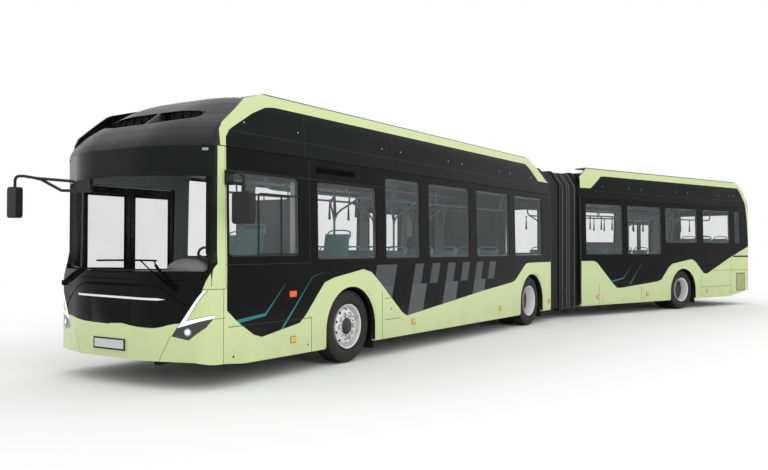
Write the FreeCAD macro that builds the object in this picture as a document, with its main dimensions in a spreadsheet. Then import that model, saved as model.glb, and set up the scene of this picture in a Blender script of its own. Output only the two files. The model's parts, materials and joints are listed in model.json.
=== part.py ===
import FreeCAD, Part
import math
import os
import re
from types import SimpleNamespace

from FreeCAD import Placement, Rotation, Vector

# An articulated low-floor city bus, 18.7 m long, in millimetres.
# Its front faces -Y, its left side is at +X, and the ground is at z = 0.
# The front section is modelled with y = 0 at its front axle. The rear section is modelled with its
# own origin at the pivot, y running back, and is turned by the bend when it is placed.

doc = FreeCAD.newDocument("CityBus")
sheet = doc.addObject("Spreadsheet::Sheet", "Sizes")


sizes = {
    # Body shell
    "width": 2550,  # over the side walls
    "wall": 60,  # thickness of a side wall
    "skirt_low": 240,  # lower edge of the side walls
    "waist": 1300,  # height at which the walls start to lean in
    "wall_top": 2590,  # upper edge of the side walls
    "lean": 28,  # how far a wall leans in at its top
    "nose": -2770,  # foremost point of the front panel
    "nose_corner": 240,  # how far the panel's corners stand behind the foremost point
    "corner_radius": 250,  # corner radius of the front panel, seen from above
    "screen_corner": 330,  # how far the windscreen's corners stand behind the foremost point
    "screen_radius": 230,  # corner radius of the windscreen, seen from above
    "nose_flat": 550,  # half the width of the flat middle of the front panel
    "bow_radius": 1200,  # radius that blends the flat middle into the front panel's wings
    "wall_front": -2290,  # front end of the side walls
    "mask_low": 300,  # lower edge of the front panel
    "mask_edge": 270,  # lower edge of the front panel at its corners
    "skirt_run": 290,  # length over which the skirt rises to the front panel
    "blend_low": 1150,  # height below which the panel's corners stay the same
    "blend_high": 1450,  # height above which the windscreen's corners stay the same
    "mask_split": 1240,  # lower edge of the windscreen, in the middle
    "screen_joint": 3,  # gap round the windscreen
    "pillar_front": -2400,  # front edge of the pillar beside the windscreen
    "screen_glass": 8,  # thickness of the windscreen
    "screen_seat": 2,  # adhesive gap behind the windscreen
    "overhang": 1040,  # middle axle to the rear end of the front section's portal
    "portal": 40,  # thickness of a gangway portal
    "rear_front": 785,  # distance of the rear section's portal behind the pivot
    "tail_overhang": 3244,  # rear axle to the tail
    "tail_skirt": 400,  # lower edge of the tail
    "tail_rise": 1044,  # length over which the skirt rises to the tail
    "tail_high": 2700,  # height at which the tail starts to slope forwards
    "tail_corner": 220,  # corner radius of the tail, seen from above
    "pivot_reach": 890,  # distance of the pivot behind the front section's portal
    "bend": 19.3,  # angle between the two sections, in degrees
    # Roof
    "roof": 70,  # thickness of the roof panel
    "fairing": 30,  # thickness of a roof fairing
    "fairing_joint": 10,  # gap between wall and fairing
    "roof_top": 3300,  # top of the roof fairings
    "roof_inset": 137,  # how far the fairing's top edge stands inside the wall
    "fairing_lip": 320,  # width of the fairing's top flange
    "fairing_front": -2385,  # front end of the front fairings
    "cap_back": -1650,  # rear end of the roof cap
    "cap_seat": 5,  # gap between the roof cap and the fairings
    "intake_depth": 300,  # how far the air intake reaches behind the front of the fairings
    "roof_seat": 3,  # gap between a roof panel and a fairing
    "unit_half": 820,  # half the width of the batteries and coolers
    # Floor and wheel boxes
    "floor_low": 290,  # underside of the floor
    "floor_top": 340,  # top of the floor
    "platform": 640,  # top of the raised floor behind the rear axle
    "platform_side": 250,  # inner side of the raised floor, from the middle
    "platform_back": 254,  # length of the raised floor across the tail
    "cab_floor": 560,  # top of the driver's platform
    "box_inside": 560,  # inner side of a wheel box, from the middle
    "box_wall": 20,  # thickness of a wheel box
    "box_half": 600,  # half the length of a wheel box, inside
    "box_top": 1040,  # underside of a wheel box's lid
    "arch": 550,  # radius of a wheel arch
    # Running gear
    "wheelbase": 6000,  # front axle to middle axle
    "rear_axle": 4750,  # pivot to rear axle
    "tyre_radius": 478,  # outer radius of a tyre
    "tyre_width": 275,  # width of a tyre
    "bead_radius": 286,  # radius at which a tyre sits on its rim
    "wheel_plane": 1097.5,  # middle of an outer tyre, from the middle of the bus
    "twin_pitch": 310,  # distance between the middles of twin tyres
    "rim_wall": 16,  # thickness of a rim's barrel
    "hand_holes": 10,  # number of hand holes in a rim
    "hand_circle": 225,  # radius at which the hand holes stand
    "hand_radius": 20,  # radius of a hand hole
    "kingpin": 1000,  # distance of a kingpin from the middle
    "kingpin_radius": 20,  # radius of a kingpin
    "running_gap": 0.05,  # radial clearance of a pin in its bore
    "spindle_radius": 35,  # radius of a wheel spindle
    "beam_low": 160,  # underside of an axle beam
    "beam_top": 250,  # top of an axle beam
    "beam_half": 60,  # half the thickness of an axle beam, fore and aft
    # Doors
    "door_low": 352,  # lower edge of a door leaf
    "door_high": 2288,  # upper edge of a door leaf
    "leaf": 38,  # thickness of a door leaf
    "leaf_inset": 22,  # how far a leaf stands inside the wall's outer face
    "leaf_gap": 8,  # gap between a leaf and its jamb
    "meeting_gap": 12,  # gap between the two leaves of a door
    "leaf_frame": 62,  # width of a leaf's frame
    "pane": 6,  # thickness of a window pane
    "door_post": 20,  # front end of the side wall to the front door
    "front_door_width": 1470,  # between the jambs of the front door
    "mid_door_back": 830,  # rear jamb of the middle door to the middle axle
    "mid_door_width": 1190,  # between the jambs of the middle door
    "rear_door_back": 1230,  # rear axle to the front jamb of the rear door
    "rear_door_width": 1120,  # between the jambs of the rear door
    # Mirrors
    "mirror_arm": 17,  # radius of a mirror's bent arm
    "mirror_bend": 60,  # radius to which the arms are bent
    # Side windows
    "window_low": 1360,  # lower edge of the side windows
    "window_high": 2485,  # upper edge of the side windows
    "window_raised": 1640,  # lower edge of the rear windows over the raised floor
    "window_corner": 60,  # corner radius of a side window
    "pane_seat": 0.3,  # gap between a pane and its frame
    # Seats
    "seat_pitch": 800,  # distance between rows of seats
    # Gangway
    "gangway_half": 1190,  # half the width of the bellows
    "gangway_low": 210,  # lower edge of the bellows
    "gangway_high": 3150,  # upper edge of the bellows
    "gangway_corner": 120,  # corner radius of the bellows' shoulders
    "shoulder_drop": 300,  # height of the bellows' sloping shoulders
    "shoulder_in": 200,  # width of the bellows' sloping shoulders
    "bellows_wall": 60,  # depth of the bellows' folds
    "hoop": 50,  # thickness of the middle hoop
    "hoop_low": 165,  # underside of the middle hoop
    "hoop_bar": 38,  # height of the hoop's bar under the turntable
    "hoop_boss": 120,  # radius of the hoop's boss round the centre pin
    "pin_radius": 60,  # radius of the turntable's centre pin
    "pin_top": 330,  # top of the centre pin
    "draw_arm": 38,  # thickness of the draw arm
    "arm_gap": 8,  # gap between the draw arm and the turntable
    "hoop_proud": 20,  # how far the hoop stands outside the bellows
    "fold_gap": 1,  # gap between the bellows and what it hangs on
    "turntable_radius": 740,  # radius of the turntable's floor disc
    # Places to lift, tow and fasten by
    "jack_pad": 12,  # height of a jacking pad under its rail
    "tow_front": -2560,  # mouth of the towing socket
    "tow_height": 254,  # height of the towing socket
    "tow_radius": 20,  # radius of the towing socket
    "tow_depth": 100,  # depth of the towing socket
}
for number, (alias, value) in enumerate(sizes.items(), 1):
    row = str(number)
    sheet.set("A" + row, alias.replace("_", " "))
    sheet.set("B" + row, str(value))
    sheet.setAlias("B" + row, alias)
s = SimpleNamespace(**sizes)
doc.recompute()

# Places that are sums of sizes, along the front section and behind the pivot
SUMS = {
    "front_end": ("wheelbase", "overhang"),
    "pivot": ("wheelbase", "overhang", "pivot_reach"),
    "tail": ("rear_axle", "tail_overhang"),
}
for place, parts in SUMS.items():
    setattr(s, place, sum(sizes[part] for part in parts))


def tied(text):
    """Turn the aliases and sums in an expression into references to the sheet's cells."""

    def cell(word):
        if word[0] in SUMS:
            return "(%s)" % " + ".join("Sizes." + part for part in SUMS[word[0]])
        return "Sizes." + word[0] if word[0] in sizes else word[0]

    return re.sub(r"[a-z_]+", cell, text)


def tie(thing, **expressions):
    """Bind properties of an object to the sheet. PlacementX stands for Placement.Base.x."""
    for name, text in expressions.items():
        path = "Placement.Base." + name[-1].lower() if name.startswith("Placement") else name
        thing.setExpression(path, tied(str(text)))
    return thing


def block(name, low, high):
    """A box from its low corner to its high corner, each a triple of expressions."""
    box = doc.addObject("Part::Box", name)
    lengths = ["(%s) - (%s)" % (b, a) for a, b in zip(low, high)]
    return tie(
        box,
        Length=lengths[0],
        Width=lengths[1],
        Height=lengths[2],
        PlacementX=low[0],
        PlacementY=low[1],
        PlacementZ=low[2],
    )


TURN = {
    "X": Rotation(Vector(0, 1, 0), 90),
    "Y": Rotation(Vector(1, 0, 0), -90),
    "Z": Rotation(),
}


def rod(name, axis, start, radius, length):
    """A cylinder from its start, along an axis of the frame."""
    cylinder = doc.addObject("Part::Cylinder", name)
    cylinder.Placement = Placement(Vector(), TURN[axis])
    return tie(
        cylinder,
        Radius=radius,
        Height=length,
        PlacementX=start[0],
        PlacementY=start[1],
        PlacementZ=start[2],
    )


def outline(points):
    """The edges of a closed outline through points (u, v), or (u, v, radius of the corner)."""
    corners = []
    for index, point in enumerate(points):
        here = Vector(point[0], point[1], 0)
        if len(point) == 2 or point[2] == 0:
            corners.append((here, None, here))
            continue
        before = Vector(*points[index - 1][:2], 0) - here
        after = Vector(*points[(index + 1) % len(points)][:2], 0) - here
        bisector = before.getAngle(after) / 2
        run = min(point[2] / math.tan(bisector), 0.49 * min(before.Length, after.Length))
        radius = run * math.tan(bisector)
        before.normalize()
        after.normalize()
        middle = here + (before + after).normalize() * (radius / math.sin(bisector) - radius)
        corners.append((here + before * run, middle, here + after * run))
    edges = []
    for index, (start, middle, end) in enumerate(corners):
        if middle:
            edges.append(Part.Arc(start, middle, end))
        following = corners[(index + 1) % len(corners)][0]
        if (following - end).Length > 0.001:
            edges.append(Part.LineSegment(end, following))
    return edges


PLANE = {
    "XY": (Rotation(), Vector(0, 0, 1), "z"),
    "XZ": (Rotation(Vector(1, 0, 0), 90), Vector(0, 1, 0), "y"),
    "YZ": (Rotation(Vector(1, 1, 1), 120), Vector(1, 0, 0), "x"),
}


def sketch(name, plane, loops, start):
    """A sketch of closed outlines on a plane of the frame, moved to its start along the normal."""
    turn, _, axis = PLANE[plane]
    drawing = doc.addObject("Sketcher::SketchObject", name)
    drawing.Placement = Placement(Vector(), turn)
    for loop in loops:
        for edge in outline(loop):
            drawing.addGeometry(edge, False)
    drawing.setExpression("Placement.Base." + axis, tied(str(start)))
    return drawing


def prism(name, plane, loops, start, end):
    """Closed outlines extruded along the frame's third axis, from start to end."""
    solid = doc.addObject("Part::Extrusion", name)
    solid.Base = sketch(name + "_sketch", plane, loops, start)
    solid.DirMode = "Custom"
    solid.Dir = PLANE[plane][1]
    solid.FaceMakerClass = "Part::FaceMakerBullseye"
    solid.Solid = True
    return tie(solid, LengthFwd="(%s) - (%s)" % (end, start))


def loft(name, lower, upper):
    """A ruled solid between two sketches."""
    solid = doc.addObject("Part::Loft", name)
    solid.Sections = [lower, upper]
    solid.Solid = True
    solid.Ruled = True
    return solid


def cut(name, base, *tools):
    """The base less the tools."""
    tool = tools[0] if len(tools) == 1 else fuse(name + "_tools", *tools)
    solid = doc.addObject("Part::Cut", name)
    solid.Base = base
    solid.Tool = tool
    return solid


def fuse(name, *pieces):
    """Pieces that are one solid."""
    solid = doc.addObject("Part::MultiFuse", name)
    solid.Shapes = list(pieces)
    solid.Refine = True
    return solid


def shared(name, *pieces):
    """What all the pieces have in common."""
    solid = doc.addObject("Part::MultiCommon", name)
    solid.Shapes = list(pieces)
    return solid


def group(name, *pieces):
    """Like pieces that stay separate solids in one sub-part."""
    compound = doc.addObject("Part::Compound", name)
    compound.Links = list(pieces)
    return compound


def mirrored(name, piece):
    """The same piece on the other side of the bus."""
    other = doc.addObject("Part::Mirroring", name)
    other.Source = piece
    other.Normal = Vector(1, 0, 0)
    return other


def rectangle(left, low, right, high, radius=0):
    """An upright rectangle with equal corners."""
    return [
        (left, low, radius),
        (right, low, radius),
        (right, high, radius),
        (left, high, radius),
    ]


nodes = []


def node(name, section, piece):
    """Name a finished sub-part and say which section of the bus carries it."""
    piece.Label = name
    nodes.append((name, section, piece))
    return piece


half = s.width / 2
top_half = half - s.lean
axle_height = s.tyre_radius


def wall_inset(height):
    """How far a side wall stands in at a height."""
    rise = max(0, height - s.waist)
    return s.lean * rise / (s.wall_top - s.waist)


# Side walls
def side_wall(name, side, start, end, openings):
    section = [
        (side * half, s.skirt_low),
        (side * half, s.waist),
        (side * top_half, s.wall_top),
        (side * (top_half - s.wall), s.wall_top),
        (side * (half - s.wall), s.waist),
        (side * (half - s.wall), s.skirt_low),
    ]
    solid = prism(name + "_section", "XZ", [section], start, end)
    holes = prism(name + "_openings", "YZ", openings, "-width", "width")
    return cut(name + "_cut", solid, holes)


def window(fore, aft, low, high):
    return rectangle(fore, low, aft, high, s.window_corner)


def wheel_arch(middle):
    low = s.skirt_low - s.wall
    return [
        (middle - s.arch, low),
        (middle + s.arch, low),
        (middle + s.arch, axle_height + s.arch * 0.94, s.arch * 0.99),
        (middle - s.arch, axle_height + s.arch * 0.94, s.arch * 0.99),
    ]


def doorway(fore, aft):
    return rectangle(fore, s.floor_top, aft, s.door_high + s.meeting_gap)


def bays(length, *spans):
    """Full-height windows, each from a share to a share of a length, in thousandths."""
    scale = length / 1000
    return [window(a * scale, b * scale, s.window_low, s.window_high) for a, b in spans]


def raised_bays(length, *spans):
    scale = length / 1000
    return [window(a * scale, b * scale, s.window_raised, s.window_high) for a, b in spans]


front_door_fore = s.wall_front + s.door_post
front_door_aft = front_door_fore + s.front_door_width
mid_door_aft = s.wheelbase - s.mid_door_back
mid_door_fore = mid_door_aft - s.mid_door_width
rear_door_fore = s.rear_axle + s.rear_door_back
rear_door_aft = rear_door_fore + s.rear_door_width
low, high = s.window_low, s.window_high
front_left_windows = [
    window(s.wall_front + 46, s.wall_front + 1228, 1410, 2330),
    window(-705, 596, low, 2320),
    *bays(s.wheelbase, (139, 294.7), (341, 564.5), (610.8, 829.2), (873.8, 1094)),
]
front_right_windows = [
    window(-540, 596, low, high),
    *bays(s.wheelbase, (139, 294.7)),
    window(s.wheelbase * 0.341, mid_door_fore - 280, low, high),
    window(mid_door_aft + 230, s.wheelbase * 1.094, low, high),
]
rear_right_windows = [
    *bays(s.tail, (124.2, 289.5), (313, 480.7)),
    *raised_bays(s.tail, (503.1, 677)),
]
rear_left_windows = rear_right_windows + raised_bays(s.tail, (710.5, 873.3), (903, 937.8))
front_arches = [wheel_arch(0), wheel_arch(s.wheelbase)]
rear_arches = [wheel_arch(s.rear_axle)]
front_doorways = [
    doorway(front_door_fore, front_door_aft),
    doorway(mid_door_fore, mid_door_aft),
]
rear_doorways = [doorway(rear_door_fore, rear_door_aft)]
front_skirt = [
    (s.wall_front - 10, 0),
    (s.wall_front + s.skirt_run, 0),
    (s.wall_front + s.skirt_run, s.skirt_low),
    (s.wall_front - 10, s.mask_edge),
]
rear_skirt = [
    (s.tail - s.tail_rise, 0),
    (s.tail + 10, 0),
    (s.tail + 10, s.tail_skirt),
    (s.tail - s.tail_rise, s.skirt_low),
]

wall_end = "front_end - portal"
wall_start = "rear_front + portal"
tail_start = "tail - tail_corner - wall"
node(
    "front_left_wall",
    "front",
    side_wall(
        "front_left", 1, "wall_front", wall_end, front_left_windows + front_arches + [front_skirt]
    ),
)
node(
    "front_right_wall",
    "front",
    side_wall(
        "front_right",
        -1,
        "wall_front",
        wall_end,
        front_right_windows + front_arches + front_doorways + [front_skirt],
    ),
)
node(
    "rear_left_wall",
    "rear",
    side_wall(
        "rear_left", 1, wall_start, tail_start, rear_left_windows + rear_arches + [rear_skirt]
    ),
)
node(
    "rear_right_wall",
    "rear",
    side_wall(
        "rear_right",
        -1,
        wall_start,
        tail_start,
        rear_right_windows + rear_arches + rear_doorways + [rear_skirt],
    ),
)


# Side window panes
def panes(name, side, windows):
    """Panes that fill the windows, sitting flush in the wall's outer face."""
    gap = s.pane_seat
    loops = []
    for loop in windows:
        (left, bottom), (right, top) = loop[0][:2], loop[2][:2]
        radius = s.window_corner - gap
        loops.append(rectangle(left + gap, bottom + gap, right - gap, top - gap, radius))
    outer = s.pane * 1.2
    section = [
        (side * (half - outer), s.skirt_low),
        (side * (half - outer), s.waist),
        (side * (top_half - outer), s.wall_top),
        (side * (top_half - outer - s.pane), s.wall_top),
        (side * (half - outer - s.pane), s.waist),
        (side * (half - outer - s.pane), s.skirt_low),
    ]
    span = prism(name + "_sheet", "XZ", [section], "wall_front", "tail")
    shapes = prism(name + "_shapes", "YZ", loops, "-width", "width")
    return shared(name, span, shapes)


node(
    "front_windows",
    "front",
    group(
        "front_panes",
        panes("front_left_panes", 1, front_left_windows),
        panes("front_right_panes", -1, front_right_windows),
    ),
)
rear_glass = [
    panes("rear_left_panes", 1, rear_left_windows),
    panes("rear_right_panes", -1, rear_right_windows),
]


# Front panel, windscreen and roof cap
def nose_plan(offset, corner, radius):
    """The front seen from above, at an offset inside the outer skin."""
    reach = half - offset
    front = s.nose + offset
    return [
        (reach, 0),
        (reach, front + corner, radius - offset),
        (s.nose_flat, front, s.bow_radius - offset),
        (-s.nose_flat, front, s.bow_radius - offset),
        (-reach, front + corner, radius - offset),
        (-reach, 0),
    ]


def nose_solid(name, offset, back):
    """The front as a solid at an offset inside the skin, ending at its back."""
    lower = nose_plan(offset, s.nose_corner, s.corner_radius)
    upper = nose_plan(offset, s.screen_corner, s.screen_radius)
    column = fuse(
        name + "_column",
        prism(name + "_lower", "XY", [lower], "skirt_low", "blend_low"),
        loft(
            name + "_blend",
            sketch(name + "_blend_low", "XY", [lower], "blend_low"),
            sketch(name + "_blend_high", "XY", [upper], "blend_high"),
        ),
        prism(name + "_upper", "XY", [upper], "blend_high", "wall_top"),
    )
    section = [
        (half - offset, s.skirt_low),
        (half - offset, s.waist),
        (top_half - offset, s.wall_top),
        (-top_half + offset, s.wall_top),
        (-half + offset, s.waist),
        (-half + offset, s.skirt_low),
    ]
    return shared(name, column, prism(name + "_section", "XZ", [section], "nose - wall", back))


def nose_shell(name, outer, inner):
    """The shell between two offsets from the skin."""
    return cut(
        name,
        nose_solid(name + "_outside", outer, "wall_front"),
        nose_solid(name + "_inside", inner, "wall_front + wall"),
    )


def split_line(rise):
    """The windscreen's lower edge, from left to right, raised by a joint."""
    side = [(1400, 1354), (1250, 1340), (1130, 1300), (770, 1270)]
    line = side + [(0, s.mask_split)] + [(-x, z) for x, z in side[::-1]]
    return [(x, z + rise) for x, z in line]


def above_split(name, rise, back):
    loop = split_line(rise) + [(-1400, s.wall_top), (1400, s.wall_top)]
    return prism(name, "XZ", [loop], "nose - wall", back)


below_loop = split_line(0) + [
    (-1400, s.mask_edge),
    (-half, s.mask_edge),
    (-half * 0.88, s.mask_low),
    (half * 0.88, s.mask_low),
    (half, s.mask_edge),
    (1400, s.mask_edge),
]
below_split = prism("below_split", "XZ", [below_loop], "nose - wall", "wall_front")
pillar_space = block(
    "pillar_space", ("-width", "pillar_front", "mask_split"), ("width", "wall_front", "wall_top")
)
screen_opening = prism(
    "screen_opening",
    "XZ",
    [rectangle(-1080, 1330, 1080, 2290, 60)],
    "nose - wall",
    "pillar_front",
)
lamp_outline = [
    (1182, 1047),
    (1226, 1055),
    (1033, 740),
    (1262, 800),
    (1252, 746),
    (1215, 666),
    (1053, 532),
    (860, 569),
    (914, 653),
]
skin = nose_shell("mask_skin", 0, s.wall)
lamp_space = prism("lamp_space", "XZ", [lamp_outline], "nose - wall", "pillar_front")
left_lamp = shared("left_lamp", skin, lamp_space)
right_lamp = mirrored("right_lamp", left_lamp)
plate_pad = block("plate_pad", (-270, "nose - 15", 385), (270, "nose + wall / 2", 515))
node(
    "front_mask",
    "front",
    cut(
        "front_mask_cut",
        fuse(
            "mask_bands",
            shared("mask_lower", skin, below_split),
            shared(
                "mask_frame",
                nose_shell("frame_skin", s.screen_glass + s.screen_seat, s.wall),
                above_split("frame_space", 0, "wall_front"),
            ),
            shared("mask_pillars", skin, pillar_space),
            plate_pad,
        ),
        screen_opening,
        lamp_space,
        mirrored("lamp_space_right", lamp_space),
    ),
)
node("headlamps", "front", group("headlamp_pair", left_lamp, right_lamp))
node(
    "windscreen",
    "front",
    shared(
        "windscreen_sheet",
        nose_shell("glass_skin", 0, s.screen_glass),
        above_split("glass_space", s.screen_joint, "pillar_front - screen_joint"),
    ),
)

# The cap's foot follows the windscreen's top. Its skin steps back as it rises, and it has a
# full-width front part and a back part that runs inside the fairings.
def cap_plan(back):
    """The cap seen from above, its edge moved back by a distance."""
    return [
        (top_half, 0),
        (top_half, s.nose + s.screen_corner + back, s.screen_radius),
        (s.nose_flat, s.nose + back, s.bow_radius),
        (-s.nose_flat, s.nose + back, s.bow_radius),
        (-top_half, s.nose + s.screen_corner + back, s.screen_radius),
        (-top_half, 0),
    ]


cap_steps = [
    (0, s.wall_top),
    (35, s.wall_top + 75),
    (120, s.wall_top + 168),
    (250, s.wall_top + 280),
    (450, s.wall_top + 395),
    (750, s.wall_top + 575),
    (1050, s.roof_top - 10),
]
cap_layers = []
for index, (back, height) in enumerate(cap_steps):
    cap_layers.append(sketch("cap_layer_%d" % index, "XY", [cap_plan(back)], height))
cap_mass = doc.addObject("Part::Loft", "cap_mass")
cap_mass.Sections = cap_layers
cap_mass.Solid = True
cap_mass.Ruled = True
cap_shoulder = [
    (top_half, s.wall_top),
    (top_half, s.wall_top + 110),
    (half - 75, s.roof_top - 380, 200),
    (half - 155, s.roof_top - 220, 200),
    (half - 275, s.roof_top - 100, 200),
    (half - 475, s.roof_top - 15, 200),
]
cap_cross = cap_shoulder + [(-corner[0], *corner[1:]) for corner in cap_shoulder[::-1]]
inner_side = top_half - s.fairing - s.cap_seat
inner_top = half - s.roof_inset - s.fairing * 0.7 - s.cap_seat
inner_shoulder = [
    (inner_side - 3, s.wall_top + s.roof),
    (inner_side - 14, 3050, 370),
    (inner_top, s.roof_top - s.fairing - s.cap_seat, 60),
]
inner_cross = inner_shoulder + [(-corner[0], *corner[1:]) for corner in inner_shoulder[::-1]]
cap_fore = shared(
    "cap_fore", cap_mass, prism("cap_cross", "XZ", [cap_cross], "nose", "fairing_front")
)
cap_aft = shared(
    "cap_aft", cap_mass, prism("cap_inner_cross", "XZ", [inner_cross], "fairing_front", "cap_back")
)
intake_low, intake_high = s.wall_top + 300, s.wall_top + 477


def intake(name, side, low_end, high_end):
    """Half of the air intake, ending at its slanted bar."""
    loop = [
        (low_end, intake_low),
        (side * 350, intake_low),
        (side * 700, intake_low + 35),
        (side * 820, intake_low + 70),
        (side * 800, intake_low + 120),
        (side * 720, intake_high - 22),
        (side * 350, intake_high),
        (high_end, intake_high),
    ]
    return prism(name, "XZ", [loop], "nose", "fairing_front + intake_depth")


node(
    "front_cap",
    "front",
    cut(
        "cap_cut",
        fuse("cap_parts", cap_fore, cap_aft),
        intake("intake_left", 1, 224, 106),
        intake("intake_right", -1, 192, 74),
    ),
)

# Roof panels, with the gangway's hoods, and fairings
def roof(name, start, end, hood):
    """A roof panel with the hood that leads up to the gangway."""
    reach = "width / 2 - lean - fairing - roof_seat"
    panel = block(
        name + "_panel", ("-(%s)" % reach, start, "wall_top"), (reach, end, "wall_top + roof")
    )
    return fuse(name, panel, prism(name + "_hood", "YZ", [hood], "-1000", "1000"))


hood_foot = s.wall_top + s.roof / 2
hood_top = s.gangway_high
front_hood = [
    (s.front_end - 590, hood_foot),
    (s.front_end - s.portal, hood_foot),
    (s.front_end - s.portal, hood_top),
    (s.front_end - 340, hood_top, 80),
    (s.front_end - 590, hood_top - 110),
]
rear_hood = [
    (s.rear_front + s.portal, hood_foot),
    (s.rear_front + 515, hood_foot),
    (s.rear_front + 515, hood_top - 110),
    (s.rear_front + 295, hood_top, 80),
    (s.rear_front + s.portal, hood_top),
]
node(
    "front_roof", "front", roof("front_roof_all", "fairing_front", "front_end - portal", front_hood)
)
node(
    "rear_roof",
    "rear",
    roof("rear_roof_all", "rear_front + portal", "tail - tail_corner - wall", rear_hood),
)


def fairings(name, profile, *limits):
    """A pair of roof fairings: a shell section run along the roof, trimmed to a side profile."""
    inner = top_half - s.fairing
    section = [
        (top_half, s.wall_top + s.fairing_joint),
        (top_half - 14, 3060, 400),
        (half - s.roof_inset, s.roof_top, 90),
        (half - s.roof_inset - s.fairing_lip, s.roof_top),
        (half - s.roof_inset - s.fairing_lip, s.roof_top - s.fairing),
        (half - s.roof_inset - s.fairing * 0.7, s.roof_top - s.fairing, 60),
        (inner - 14, 3050, 370),
        (inner, s.wall_top + s.fairing_joint),
    ]
    run = prism(name + "_run", "XZ", [section], "fairing_front - portal", "tail")
    trim = prism(name + "_trim", "YZ", [profile], "-width", "width")
    left = shared(name + "_left", run, trim, *limits)
    return group(name, left, mirrored(name + "_right", left))


foot = s.wall_top + s.fairing_joint
tail_from = s.tail - s.tail_corner - s.wall
tail_edge = s.tail - 54
fairing_plan = [(x, s.front_end if y == 0 else y, *rest) for x, y, *rest in cap_plan(0)]
slope_high = s.tail_high + (s.roof_top - 95 - s.tail_high) * (tail_edge - tail_from) / (440 - 54)
front_profile = [
    (s.fairing_front, foot),
    (s.fairing_front, s.wall_top + 140, 60),
    (s.fairing_front + 62, s.wall_top + 260, 80),
    (s.fairing_front + 459, s.roof_top - 120, 250),
    (s.fairing_front + 955, s.roof_top + 20, 250),
    (s.front_end - 970, s.roof_top + 20, 300),
    (s.front_end - 580, s.roof_top - 240, 300),
    (s.front_end - 160, s.wall_top + 260, 200),
    (s.front_end - s.portal, s.wall_top + 250),
    (s.front_end - s.portal, foot),
]
rear_profile = [
    (s.rear_front + s.portal, foot),
    (s.rear_front + s.portal, s.roof_top - 240),
    (s.rear_front + 435, s.roof_top + 20, 300),
    (s.tail - 600, s.roof_top + 20, 150),
    (s.tail - 440, s.roof_top - 95, 100),
    (tail_from, slope_high),
    (tail_from, foot),
]
nose_space = prism("fairing_plan", "XY", [fairing_plan], "wall_top", "roof_top + fairing")
node("front_fairings", "front", fairings("front_fairing", front_profile, nose_space))
node("rear_fairings", "rear", fairings("rear_fairing", rear_profile))

unit_foot = "wall_top + roof"
node(
    "front_roof_units",
    "front",
    group(
        "front_units",
        block(
            "battery_fore",
            ("-unit_half", 300, unit_foot),
            ("unit_half", "wheelbase / 2 - 500", "roof_top - 60"),
        ),
        block(
            "battery_aft",
            ("-unit_half", "wheelbase / 2 - 300", unit_foot),
            ("unit_half", "wheelbase - 1100", "roof_top - 60"),
        ),
        block(
            "cooler", ("-unit_half", "cap_back + 50", unit_foot), ("unit_half", 100, "roof_top - 90")
        ),
    ),
)
node(
    "rear_roof_units",
    "rear",
    group(
        "rear_units",
        block(
            "battery_rear",
            ("-unit_half", "rear_front + 915", unit_foot),
            ("unit_half", "rear_axle - 850", "roof_top - 60"),
        ),
        block(
            "cooler_rear",
            ("-unit_half", "rear_axle - 550", unit_foot),
            ("unit_half", "rear_axle + 1150", "roof_top - 90"),
        ),
    ),
)


# Floors, with the boxes over the wheels
def floor(name, start, end, axles):
    pieces = [
        block(
            name + "_slab",
            ("-(width / 2 - wall)", start, "floor_low"),
            ("width / 2 - wall", end, "floor_top"),
        )
    ]
    holes = []
    for index, middle in enumerate(axles):
        for side in ("left", "right"):
            low, high = "box_inside", "width / 2 - wall"
            cavity_low, cavity_high = "box_inside + box_wall", "width"
            if side == "right":
                low, high = "-(width / 2 - wall)", "-box_inside"
                cavity_low, cavity_high = "-width", "-(box_inside + box_wall)"
            tag = "%s_box_%d_%s" % (name, index, side)
            pieces.append(
                block(
                    tag,
                    (low, middle + " - box_half - box_wall", "floor_low"),
                    (high, middle + " + box_half + box_wall", "box_top + box_wall"),
                )
            )
            holes.append(
                block(
                    tag + "_cavity",
                    (cavity_low, middle + " - box_half", "0"),
                    (cavity_high, middle + " + box_half", "box_top"),
                )
            )
    return pieces, holes


front_pieces, front_holes = floor(
    "front_floor", "wall_front + 20", "front_end - portal", ["0", "wheelbase"]
)
front_pieces.append(
    block(
        "driver_platform",
        (180, "wall_front + 20", "floor_top"),
        ("width / 2 - wall", "-box_half - 440", "cab_floor"),
    )
)
front_pieces.append(
    shared(
        "floor_nose",
        nose_solid("floor_nose_space", s.wall + s.pane_seat, "wall_front + 40"),
        block("floor_nose_slab", ("-width", "nose", "floor_low"), ("width", "0", "floor_top")),
    )
)
node(
    "front_floor",
    "front",
    cut("front_floor_cut", fuse("front_floor_all", *front_pieces), *front_holes),
)
rear_pieces, rear_holes = floor(
    "rear_floor", "rear_front + portal", "tail - tail_corner - wall", ["rear_axle"]
)
rear_pieces.append(
    block(
        "platform_left",
        ("platform_side", "rear_axle + box_half + box_wall", "floor_top"),
        ("width / 2 - wall", "tail - tail_corner - wall", "platform"),
    )
)
rear_pieces.append(
    block(
        "platform_tail",
        ("-(width / 2 - wall)", "tail - tail_corner - wall - platform_back", "floor_top"),
        ("platform_side", "tail - tail_corner - wall", "platform"),
    )
)
skirt_wedge = prism("skirt_wedge", "YZ", [rear_skirt], "-width", "width")
node(
    "rear_floor",
    "rear",
    cut("rear_floor_cut", fuse("rear_floor_all", *rear_pieces), skirt_wedge, *rear_holes),
)


# Tail panel, rear window and lamps
def tail_band(outer, inner, start):
    loop = []
    for offset, way in ((outer, 1), (inner, -1)):
        reach = half - offset
        back = s.tail - offset
        run = [
            (reach, start),
            (reach, back, s.tail_corner - offset),
            (-reach, back, s.tail_corner - offset),
            (-reach, start),
        ]
        loop += run if way == 1 else run[::-1]
    return loop


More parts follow.
